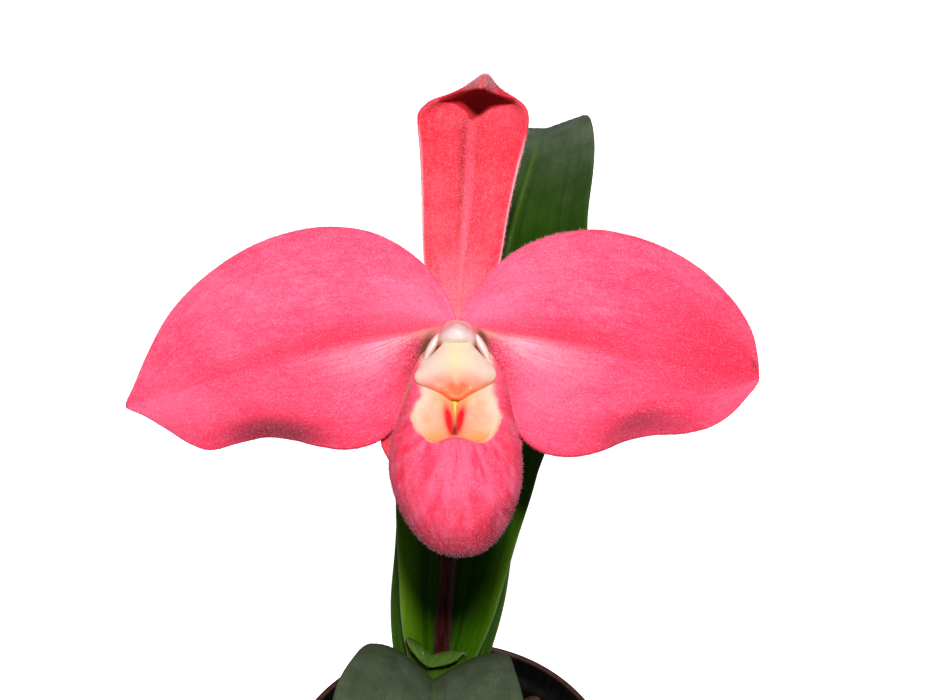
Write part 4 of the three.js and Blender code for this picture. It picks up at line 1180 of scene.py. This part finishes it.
def petal_shape(upper, tone, seed):
    """Waves, fine quilting, a fold at the midrib and a margin rolled back under the painted shade
    patch.
    """
    middle, (reach, _) = tone["patch"][:2]

    def shape_of(p, t, s):
        u, v, _ = np.moveaxis(p, -1, 0)
        side = s * upper
        roll = -2.2 * spot(u, v, middle, (reach * 1.3, 99)) * smooth(-side, 0.6, 1)
        wave = 0.45 * bumps(p, 0.11, seed, (1, 1, 0)) * smooth(t, 0.1, 0.3)
        quilt = 0.1 * bumps(p, 0.45, seed + 3, (0.45, 1, 0))
        quilt += 0.05 * bumps(p, 1.1, seed + 5, (0.6, 1, 0))
        fold = bell(side, 0.05) * profile(((0, 0.6), (0.08, 1), (0.3, 0.3), (0.5, 0)), t)
        return roll + wave + quilt - 0.35 * fold
    return shape_of


def petal_hair(base):
    """Hairs over a petal, denser at its margins and its foot."""
    def density(t, s):
        return base * (0.5 + 0.9 * smooth(np.abs(s), 0.6, 1) + 0.8 * smooth(t, 0.3, 0.05))
    return density


def furrows(t, s, left_width, right_width):
    """The hooded sepal's two furrows, and the middle and half-width of the ridge between."""
    left = profile(((0, 0), (0.45, -0.03), (0.64, -0.13), (1, -0.13)), t)
    right = profile(((0, 0.12), (0.45, 0.27), (0.6, 0.15), (1, 0.13)), t)
    return (bell(s - left, left_width), bell(s - right, right_width),
            (left + right) / 2, (right - left) / 2)


def sepal_marks(p, t, s):
    """Dark furrows, a pale ridge and margins, and painted shade under the sepal's hooded tip."""
    u, v, _ = np.moveaxis(p, -1, 0)
    edge = np.abs(s)
    first, second, middle, reach = furrows(t, s, 0.105, 0.08)
    broken = 0.7 + 0.3 * smooth(bumps(p, 2.6, 4), -0.3, 0.3)
    up = profile(((0, 0), (0.2, 0.45), (0.4, 1), (0.62, 1), (0.7, 0)), t)
    # Painted shadow: the dark V under the hooded tip, which also deepens the red there.
    below_hood = profile(HOOD_SHADE, u)
    hood_shadow = smooth(v, below_hood - 0.1, below_hood + 0.15) * smooth(t, 0.5, 0.56)
    ridge = np.exp(-((s - middle) / (0.75 * reach)) ** 4)
    red = profile(((0, 0), (0.15, 0.05), (0.3, 0.25), (0.5, 0.4), (0.6, 0.55), (0.72, 0)), t)
    pale = most(
        0.9 * smooth(edge, 0.95, 1) * smooth(t, 0.66, 0.6),
        ridge * profile(((0, 0.8), (0.25, 0.8), (0.45, 0.45), (0.6, 0.1), (0.68, 0)), t),
        0.8 * smooth(t, 0.32, 0.08) * smooth(edge, 0.9, 0.4))
    deep = most(hood_shadow, 0.4 * smooth(edge, 0.55, 0.85) * smooth(t, 0.15, 0.3),
                red * (1 - 0.7 * ridge))
    return {
        "dark": np.clip(up * broken * (0.8 * first + 0.4 * second), 0, 1),
        "shade": hood_shadow,
        "pale": np.clip(pale, 0, 1) * (1 - hood_shadow),
        "deep": deep * (t < 0.85),
        "green": 0.4 * bell(s - 0.02, 0.06 + 0.4 * smooth(t, 0.06, 0)) * smooth(t, 0.3, 0.04),
        "frost": 0.9 * smooth(edge, 0.96, 1) * smooth(t, 0.66, 0.6),
    }


def sepal_shape(p, t, s):
    """Two furrows with a ridge between them, along the hooded sepal."""
    first, second, middle, _ = furrows(t, s, 0.09, 0.07)
    along = profile(((0, 0.3), (0.2, 0.8), (0.6, 1), (0.7, 0)), t)
    ridge = 0.14 * bell(s - middle, 0.08)
    return along * (ridge - (0.24 * first + 0.14 * second)) + 0.08 * bumps(p, 0.4, 5, (1, 0.5, 0))


# Marks of the lower sepals: dark and deep all over are painted shade, as they lie in the petals'
# shadow; pale margins and green toward the middle.
def synsepal_marks(p, t, s):
    edge = np.abs(s)
    return {"dark": 0.55, "pale": 0.3 * smooth(edge, 0.9, 1), "deep": 0.8,
            "green": 0.4 * smooth(edge, 0.3, 0)}


def synsepal_shape(p, t, s):
    return 0.15 * bumps(p, 0.3, 7, (1, 0.5, 0))


def make_flower_blades(rng):
    """Both petals, the hooded sepal and the joined lower ones."""
    petal = velvet("petal velvet", (0.84, 0.024, 0.075), (0.87, 0.051, 0.142), (0.89, 0.152, 0.28),
                   veins=(3, 30), vein_share=0.4).material
    sepal = velvet("sepal velvet", (0.68, 0.009, 0.026), (0.78, 0.028, 0.06), (0.86, 0.125, 0.19),
                   veins=(2, 16), flecks=0.08, mottles=(40, 14)).material
    for name, node, blade, upper, tone, seed in (
            ("left_petal", "petal_left", PETAL_LEFT, 1, LEFT_TONE, 3),
            ("right_petal", "petal_right", PETAL_RIGHT, -1, RIGHT_TONE, 9)):
        make_blade(name, node, blade, petal, "petal_velvet", petal_marks(upper, tone),
                   petal_shape(upper, tone, seed), rng, (150, 90), petal_hair(6), petal_hair(4))
    make_blade("hooded_sepal", "dorsal_sepal", DORSAL_SEPAL, sepal, "sepal_velvet", sepal_marks,
               sepal_shape, rng, (170, 80), lambda t, s: 11 * smooth(t, 0.72, 0.64) + 2,
               lambda t, s: 9 + 34 * smooth(t, 0.62, 0.8) * smooth(np.abs(s), 0.7, 0.2),
               crease=0.12)
    make_blade("joined_lower_sepals", "synsepal", SYNSEPAL, sepal, "sepal_velvet", synsepal_marks,
               synsepal_shape, rng, (90, 60), lambda t, s: 4 + 0 * t, lambda t, s: 9 + 0 * t,
               crease=0.1)


# ------------------------------------------------------------------ lip


def pouch_ring(ring, angle):
    """Points around one row of the pouch table."""
    (front_v, front_w), (back_v, back_w) = ring["front"], ring["back"]
    to_front = (1 + np.cos(angle)) / 2
    aside = np.abs(np.sin(angle))
    pinch = 1 - ring.get("pinch", 0) * smooth(to_front, 0.06, 0.4)
    lift = ring.get("lift", 0) * aside
    u = np.sign(np.sin(angle)) * aside ** (1 - ring.get("square", 0)) * ring["halfWidth"] * pinch
    dip = ring.get("dip", 0) * bell(np.abs(u) - 3.4, 1.9) * smooth(to_front, 0.6, 0.85)
    return np.stack([
        POUCH_CENTRE_U + ring.get("shift", 0) + u,
        back_v + (front_v - back_v) * to_front + lift * 0.6 - dip,
        back_w + (front_w - back_w) * to_front + lift,
    ], -1)


def pouch_table():
    """Rows from the toe up the outside, over the side lobes and down the inside."""
    lowest = POUCH_OUTSIDE[0]["front"][0] + POUCH_WALL
    inside = [{
        "front": (max(r["front"][0], lowest), r["front"][1] - POUCH_WALL),
        "back": (max(r["back"][0], lowest), r["back"][1] + POUCH_WALL),
        "halfWidth": r["halfWidth"] - POUCH_WALL * min(1, r["halfWidth"] / 3),
        "shift": r.get("shift", 0),
    } for r in POUCH_OUTSIDE[-2::-1]]
    toe = {"front": (-31.7, 7.8), "back": (-31.7, 7.8), "halfWidth": 0.0, "shift": 0.7}
    return [toe, *POUCH_OUTSIDE, *POUCH_LOBES, *POUCH_UNDERSIDE, *inside]


def lip_marks(u, v, p, ring, angle, outer):
    """Marks of the pouch; ring counts the rows of its table, outer is 1 outside it."""
    w = p[..., 2]
    lobe = len(POUCH_OUTSIDE) + 1
    ragged = 0.35 * bumps(p, 0.8, 7) + 0.2 * bumps(p, 2.2, 9)
    low, left, right = profile(CREAM_LOW, u), profile(CREAM_LEFT, v), profile(CREAM_RIGHT, v)
    inside = np.minimum(u - left, right - u) + ragged
    cream = smooth(v, low - 0.1, low + 0.12) * smooth(ring, lobe + 6.5, lobe + 4.5)
    cream = cream * smooth(inside, -0.55, 0.5) * smooth(ring, lobe - 3, lobe - 2.4)
    front = smooth(w, 7, 8.5)
    amber = (0.5 * spot(u, v, (-0.4, -9.2), (2.2, 1.1)) + 0.7 * spot(u, v, (-3.2, -15.2), (3, 1.5))
             + 0.65 * spot(u, v, (2.8, -15.2), (3, 1.5)) + 0.12 * smooth(v, -10.5, -13.5))
    yellow = 0.95 * spot(u, v, (-0.4, -10.9), (0.34, 2.6)) + spot(u, v, (-0.3, -9.6), (1.6, 1.2))
    red = (1.1 * (spot(u, v, (-1.2, -12.7), (0.55, 2.4), 12)
                  + spot(u, v, (0.3, -12.7), (0.55, 2.3), -15))
           + 0.35 * spot(u, v, (-0.4, -12.6), (2.2, 2.2)))
    beside_seam = 1 - 0.9 * spot(u, v, (-0.4, -10.9), (0.26, 2.9))
    # deep is the pouch's deeper red lower down and at its sides, partly painted shade where it
    # curves away from the lamp; dark is painted shade on its underside along the lower edge.
    deep = (0.4 * smooth(v, -20, -31) + 0.12 * smooth(np.abs(u + 0.3), 1.5, 4.5)
            + 0.3 * smooth(-u, 5.5, 9) + 0.55 * smooth(u, 5, 9))
    dark = (0.95 * smooth(v - 0.075 * (u + 0.5) ** 2, -25, -31.5)
            + 0.75 * spot(u, v, (6.2, -27.3), (2.2, 2.8), 30))
    margin = profile(((-10.6, -7.7), (-9.2, -7.2), (-6.2, -5.8), (-3.8, -4.6)), v)
    return {
        "t": ring / ring.max(),
        "s": np.sin(angle),
        "ca": np.cos(angle),
        "sa": np.sin(angle),
        "cream": cream,
        "amber": front * cream * np.clip(amber, 0, 1),
        "yellow": np.clip(yellow, 0, 1) * smooth(ring, lobe - 1, lobe),
        "red": front * np.clip(red, 0, 1) * cream * beside_seam,
        # Dark brown at the foot of the seam, and painted shadow on the rim behind the left anther
        # pod.
        "brown": front * spot(u, v, (-0.45, -14.3), (0.35, 0.8)) * cream
        + spot(u, v, (-4.2, -2.8), (1.6, 0.6), 64) * smooth(w, 4, 3),
        "deep": np.clip(deep, 0, 1) * outer,
        # Painted light: a paler middle on the pouch's front, where it faces the lamp.
        "pale": 0.5 * outer * spot(u, v, (-0.3, -18.5), (2.2, 4.5)),
        # Painted shade: olive in the gap beside the left petal, on the pouch's upper left.
        "olive": outer * smooth(u, margin + 0.3, margin - 0.1) * smooth(v, -11.5, -9.5),
        "milky": smooth(inside, 2.4, 0.6),
        "dark": np.clip(dark, 0, 1) * outer,
        "fan": np.arctan2(u + 0.3, -(v + 9)),
        "fall": np.hypot(u + 0.3, v + 9) / 6,
        "rays": outer * smooth(v, -30, -25),
    }


def make_lip(rng):
    """The hollow pouch, the seam between its side lobes and the hairs on its outside."""
    angle = circle(POUCH_SIDES)
    per = 7
    p = spline([pouch_ring(row, angle) for row in pouch_table()], per)
    p[..., 0] += 1e-3 * np.sin(angle)
    ring, angle = np.meshgrid(np.arange(len(p)) / per, angle, indexing="ij")
    lobe = len(POUCH_OUTSIDE) + 1
    outer = smooth(ring, lobe + 0.2, lobe - 1.2)
    veins = np.cos(angle * 26 + 1.5 * bumps(p, 0.12, 2))
    relief = outer * (0.05 * veins + 0.12 * bumps(p, 0.25, 8))
    u, v, _ = np.moveaxis(p, -1, 0)
    p = p + grid_normals(p, closed=True) * relief[..., None]
    marks = lip_marks(u, v, p, ring, angle, outer)
    world = to_plant(p)
    turned = grid_normals(world, closed=True)
    centre = world[:per * lobe].reshape(-1, 3).mean(0)
    if ((world[per * 4] - centre) * turned[per * 4]).sum() < 0:
        turned = -turned
    density = 2.2 + 6 * smooth(v, -22, -29) + 7 * smooth(np.abs(u + 0.1), 8, 9.2)
    body = ring_part(world, marks)
    hairs = hair_part(world, turned, marks, outer * (ring > 0.4) * density, 0.36, rng, closed=True)
    seam = Curve([from_flower(*q) for q in LOBE_SEAM])
    q, _, t, _ = tube(seam, 40, 14, lambda t, k: 0.58 - 0.4 * smooth(t, 0.1, 0.7))
    seam = ring_part(q, {
        "cream": 1.0, "amber": 0.5 * smooth(t, 0.5, 0.9), "yellow": 0.95 * smooth(t, 0.95, 0.7),
        "brown": smooth(t, 0.84, 0.98)})
    piece("pouched_lip", [body, seam, hairs], lip_look(), "lip_skin", "lip")


# ------------------------------------------------------------------ column


def lathe(outline, sides, per):
    """Rings turned about Z through smoothed (radius, height) points."""
    r, z = spline(outline, per).T
    k = circle(sides)
    r = np.maximum(r, 1e-3)
    return np.stack([r[:, None] * np.cos(k), r[:, None] * np.sin(k), z[:, None] + 0 * k], -1), k


def ball(rows, sides, ends):
    """Points of a unit ball in rings from +Z to -Z, and their two angles."""
    a, k = np.meshgrid(np.linspace(ends, math.pi - ends, rows), circle(sides), indexing="ij")
    return np.stack([np.sin(a) * np.cos(k), np.sin(a) * np.sin(k), np.cos(a)], -1), a, k


def about_z(a):
    """Matrix of a turn by a radians about Z."""
    return np.array([[math.cos(a), -math.sin(a), 0], [math.sin(a), math.cos(a), 0], [0, 0, 1]])


def make_knob():
    """The column's rounded knob, with a pink collar and a chin toward the shield."""
    p, k = lathe(KNOB, 72, 8)
    w = p[..., 2]
    chin = smooth(w, -1, 1.5) * smooth(w, 5.6, 4.2) * np.where(p[..., 1] < 0, np.sin(k) ** 2, 0)
    p[..., 0] *= 1 - 0.16 * p[..., 1] * smooth(w, 1, 3)
    p = p * (0.92, 0.61, 1) + (-0.1, -0.95, 0)
    collar = smooth(w, 2.4, -0.4) * smooth(w, -3.8, -1.6) * smooth(p[..., 1], -0.9, 0.4)
    p[..., 1] += 0.6 * collar
    p[..., 1] -= 1.5 * chin
    p = p + (0.05 * bumps(p, 0.8, 3) + 0.04 * bumps(p, 2.0, 5))[..., None] * grid_normals(
        p, closed=True)
    u, v, _ = np.moveaxis(p, -1, 0)
    pink = 0.7 * smooth(w, 4.6, 2.2) + 0.35 * smooth(np.abs(u), 1.2, 2.6)
    marks = {"t": w / 7, "pink": np.clip(pink, 0, 0.8), "cream": 0.8 * smooth(v, -0.8, -2),
             "brown": smooth(v, -1.2, -2.4) * smooth(np.abs(u), 1.9, 2.5)}
    look = wax("column wax", (0.71, 0.55, 0.53), (0.35, 0.5), pink=(0.76, 0.4, 0.36),
               cream=(0.74, 0.57, 0.44), brown=(0.5, 0.09, 0.04))
    piece("column_knob", [ring_part(to_plant(p), marks)], look, "column_wax", "column")


def make_shield():
    """The cream staminode, with orange at its tip and pink cheeks."""
    look = wax("shield wax", (0.7, 0.52, 0.43), (0.45, 0.65), yellow=(0.7, 0.585, 0.33),
               pink=(0.7, 0.26, 0.2), orange=(0.8, 0.105, 0.012), rimline=(0.62, 0.15, 0.04))
    t, s = rows_and_columns(80, 64)
    edge = np.abs(s)
    p = blade_surface(SHIELD, t, s, 0.3)
    u, v = p[..., 0], p[..., 1]
    p[..., 2] += 0.35 * (1 - s ** 2) * smooth(t, 0, 0.3)
    p[..., 2] += 0.14 * bumps(p, 0.6, 4, (1, 1, 0)) * smooth(edge, 0.3, 1)
    p[..., 2] -= 0.35 * spot(u, v, (-0.1, -8), (1.2, 1.6))
    p[..., 2] -= 0.3 * smooth(edge, 0.75, 1) * smooth(t, 0.3, 0.6)
    length, reach = 7, 4.5 * np.sin(math.pi * np.clip(t, 0.1, 0.95))
    half = 0.42 * rounded((1 - edge) * reach, 0.35)
    half = half * rounded((1 - t) * length, 0.5) * rounded(t * length + 0.1, 0.5)
    cheeks = spot(u, v, (-3.3, -7.9), (2.6, 1.2), 22), spot(u, v, (3.1, -7.8), (2.6, 1.2), -22)
    marks = {
        "t": t, "s": s,
        "yellow": 0.9 * spot(u, v, (-0.1, -4.6), (1.7, 3.4)),
        "pink": np.clip(0.85 * cheeks[0] + 0.85 * cheeks[1], 0, 1),
        "orange": np.clip(1.7 * spot(u, v, (-0.1, -9.4), (3.1, 2.2)), 0, 1),
        "rimline": 0.8 * smooth(edge, 0.7, 0.97) * smooth(t, 0.5, 0.68),
    }
    piece("cream_shield", [outward_faces(sheet_part(to_plant(p), half, marks))], look,
          "shield_wax", "staminode")


def make_anthers():
    """The two white pods beside the column, each with a groove on its inner side."""
    look = wax("anther wax", (0.8, 0.62, 0.57), (0.2, 0.35), red=(0.55, 0.16, 0.09))
    for side, name in ((-1, "left"), (1, "right")):
        p = ball(40, 48, 0.02)[0][..., [0, 2, 1]]
        x, _, z = np.moveaxis(p * (side, 1, 1), -1, 0)
        groove = bell(x + 0.5, 0.12) * smooth(z, 0.1, 0.6)
        inward = smooth(-x, 0.42, 0.72)
        p = p * (1 - 0.12 * groove[..., None]) * (0.66, 2.15, 1.1)
        p = p @ about_z(math.radians(side * 29)).T + (side * 3.45 - 0.12, -2.6, 3.2)
        piece(f"{name}_anther_pod", [ring_part(to_plant(p), {"red": 0.9 * inward})], look,
              "anther_wax", f"anther_{name}")


# ------------------------------------------------------------------ pot, mix and crown


def slot_cutter():
    """Long round-ended blocks that reach through the pot's floor, one to a drain slot."""
    points, faces = [], []
    for i in range(DRAIN_SLOTS):
        along, across, up = about_z(2 * math.pi * (i + 0.5) / DRAIN_SLOTS).T
        low = list(range(len(points), len(points) + SLOT_SIDES))
        high = [k + SLOT_SIDES for k in low]
        for z in (-2, 4):
            for b in circle(SLOT_SIDES):
                x = SLOT_DISTANCE + math.copysign(SLOT_HALF_LENGTH, math.cos(b))
                x += SLOT_RADIUS * math.cos(b)
                points.append((along * x + across * SLOT_RADIUS * math.sin(b) + up * z) * MM)
        faces += zip(low, low[1:] + low[:1], high[1:] + high[:1], high)
        faces += [low[::-1], high]
    mesh = bpy.data.meshes.new("slots")
    mesh.from_pydata(points, [], faces)
    return place("slots", mesh)


def make_pot():
    """The turned pot, with its drain slots cut through the floor."""
    p, k = lathe(POT, 160, 4)
    z = p[..., 2]
    r = np.hypot(p[..., 0], p[..., 1])
    ribs = 0.12 * smooth(np.cos(POT_RIBS * k), 0.93, 1) * smooth(z, 50, 44) * smooth(z, 2, 8)
    ribs *= r > 22
    outside = np.arange(len(p))[:, None] < len(p) * POT_OUTSIDE_SHARE
    p[..., :2] *= (1 + ribs * outside / np.maximum(r, 1))[..., None]
    pot = piece("nursery_pot", [ring_part(p, {"lip": smooth(z, 57.5, 57.95)})], pot_look(),
                "pot_plastic", "pot")
    cutter = slot_cutter()
    cut = pot.modifiers.new("slots", "BOOLEAN")
    cut.object, cut.operation, cut.solver = cutter, "DIFFERENCE", "EXACT"
    graph = bpy.context.evaluated_depsgraph_get()
    done = bpy.data.meshes.new_from_object(pot.evaluated_get(graph))
    pot.modifiers.clear()
    pot.data = done
    bpy.data.objects.remove(cutter)


def lump(centre, size, turn, tilt, rng, grid, tone, rough=0.22):
    """A rough flattened lump such as a bark chip."""
    p = ball(*grid, 0.05)[0]
    p = np.sign(p) * np.abs(p) ** 0.62
    p = p * (1 + rough * bumps(p, 1.3, rng.uniform(0, 50)))[..., None] * np.array(size)
    p[..., 0] += 0.15 * size[0] * bumps(p, 0.6, rng.uniform(0, 50))
    lean = np.array([[math.cos(tilt), 0, -math.sin(tilt)], [0, 1, 0],
                     [math.sin(tilt), 0, math.cos(tilt)]])
    return ring_part(p @ lean.T @ about_z(turn).T + centre, {"tone": tone})


def make_mix(rng):
    """The mix with loose pieces in its top, the one chip the camera sees, and the bark chips."""
    p, _ = lathe(MIX, 120, 5)
    top = smooth(p[..., 2], 48.6, 49.4)
    p[..., 2] += top * (0.9 * bumps(p, 0.35, 2) + 0.4 * bumps(p, 1.1, 6))
    parts = [ring_part(p, {"tone": 0.25 + 0.25 * smooth(bumps(p, 0.6, 3), -0.3, 0.3)})]
    while len(parts) < MIX_PARTS:
        a, r = rng.uniform(0, 2 * math.pi), MIX_REACH * math.sqrt(rng.random())
        x, y = r * math.cos(a), r * math.sin(a)
        size = rng.uniform(1.1, 3.0)
        in_crown = ((x - CROWN_X) / 5.5) ** 2 + ((y - CROWN_Y) / 9) ** 2 < 1
        if r + size > MIX_REACH + 0.9 or in_crown:
            continue
        parts.append(lump(
            (x, y, 49.6 + rng.uniform(0, 0.9)), (size, size * rng.uniform(0.45, 0.8), size * 0.4),
            rng.uniform(0, 6.3), rng.uniform(-0.5, 0.5), rng, (6, 9), rng.uniform(0.1, 0.9)))
    parts.append(lump((15.9, 21.3, 51.0), (2.6, 1.7, 1.1), 0.4, 0.1, rng, (9, 14), 0.05))
    piece("bark_mix", parts, bark_look("bark mix", (0.09, 0.042, 0.022)), "potting_mix",
          "potting_mix")

    chip = bark_look("bark chips", (0.16, 0.062, 0.03))
    for i, (heading, distance, length, turn) in enumerate(BARK_CHIPS, 1):
        a = math.radians(heading)
        centre = (distance * math.cos(a), distance * math.sin(a), MIX_TOP + 1.6)
        part = lump(centre, (length / 2 - 0.1, length * 0.28, 1.35), math.radians(turn),
                    rng.uniform(-0.12, 0.12), rng, (26, 44), rng.uniform(0.35, 0.95), 0.16)
        piece(f"bark_piece_{i:02d}", [part], chip, "bark", f"bark_chip_{i:02d}")


def make_crown(rng):
    """The folded crown and the hairy roots below it."""
    p, a, k = ball(50, 90, 0.03)
    folds = 0.05 * np.cos(14 * k + 3 * bumps(p, 1.5, 4)) * np.sin(a) + 0.05 * bumps(p, 3, 2)
    p = p * (1 + folds)[..., None] * (5.2, 8.1, 6.1) + (CROWN_X, CROWN_Y, CROWN_TOP - 6.6)
    parts = [ring_part(p, {"root": 0.0})]
    for heading, reach, depth in ROOTS:
        b = math.radians(heading)
        path = Curve([
            (CROWN_X + reach * f * math.cos(b), CROWN_Y + reach * f * math.sin(b), z)
            for f, z in ((0.2, 49.5), (0.45, 51.2), (0.7, 50.2), (0.9, 46.5),
                         (1, MIX_TOP - depth * 0.6))])
        ring = tube(path, 40, 18, lambda t, k: 1.2 * (1 - 0.3 * t) + 0.08 * np.cos(3 * k))
        parts += hairy_tube(ring, {"root": np.ones_like(ring[2])}, 4.0, 0.35, rng, 0.5)
    piece("crown_and_roots", parts, crown_look(), "crown_tissue", "rhizome")


# ------------------------------------------------------------------ stage


def make_stage():
    """Floor, even sky, one small round lamp near the camera's axis, and the camera."""
    size = FLOOR_HALF_METRES
    mesh = bpy.data.meshes.new("floor")
    mesh.from_pydata([(-size, -size, 0), (size, -size, 0), (size, size, 0), (-size, size, 0)], [],
                     [(0, 1, 2, 3)])
    floor = place("floor", mesh)
    look = Look("pale floor", (0.93, 0.93, 0.93), Roughness=0.8, Specular_IOR_Level=0.1,
                Emission_Color=(1, 1, 1, 1), Emission_Strength=1.0)
    look.lay(look.band(look.noise(look.stretch(0.02, 0.02, 0.02)), 0.3, 0.7), (0.9, 0.9, 0.9))
    mesh.materials.append(look.show_colour())
    floor.visible_diffuse = False
    floor.visible_glossy = False

    scene = bpy.context.scene
    world = bpy.data.worlds.new("studio")
    world.use_nodes = True
    sky = world.node_tree.nodes["Background"]
    sky.inputs[0].default_value = (0.97, 0.98, 1, 1)
    sky.inputs[1].default_value = SKY_STRENGTH
    scene.world = world

    data = bpy.data.lights.new("key", "AREA")
    data.shape, data.size, data.energy = "DISK", KEY_SIZE, KEY_POWER
    lamp = place("key", data)
    way = Vector(KEY_WAY).normalized()
    lamp.location = Vector(FLOWER_CENTRE * MM) + way * KEY_DISTANCE
    lamp.rotation_euler = way.to_track_quat("Z", "Y").to_euler()

    data = bpy.data.cameras.new("camera")
    data.lens, data.sensor_width = 75, 36
    data.clip_start, data.clip_end = 0.01, 10
    camera = place("camera", data)
    camera.location = [c * MM for c in CAMERA_PLACE]
    camera.rotation_euler = (LEAN_BACK, 0, 0)
    scene.camera = camera
    scene.view_settings.view_transform = "Standard"


rng = np.random.default_rng(11)
make_stage()
young_look = make_leaves()
make_stem(young_look, rng)
make_flower_blades(rng)
make_lip(rng)
make_knob()
make_shield()
make_anthers()
make_pot()
make_mix(rng)
make_crown(rng)
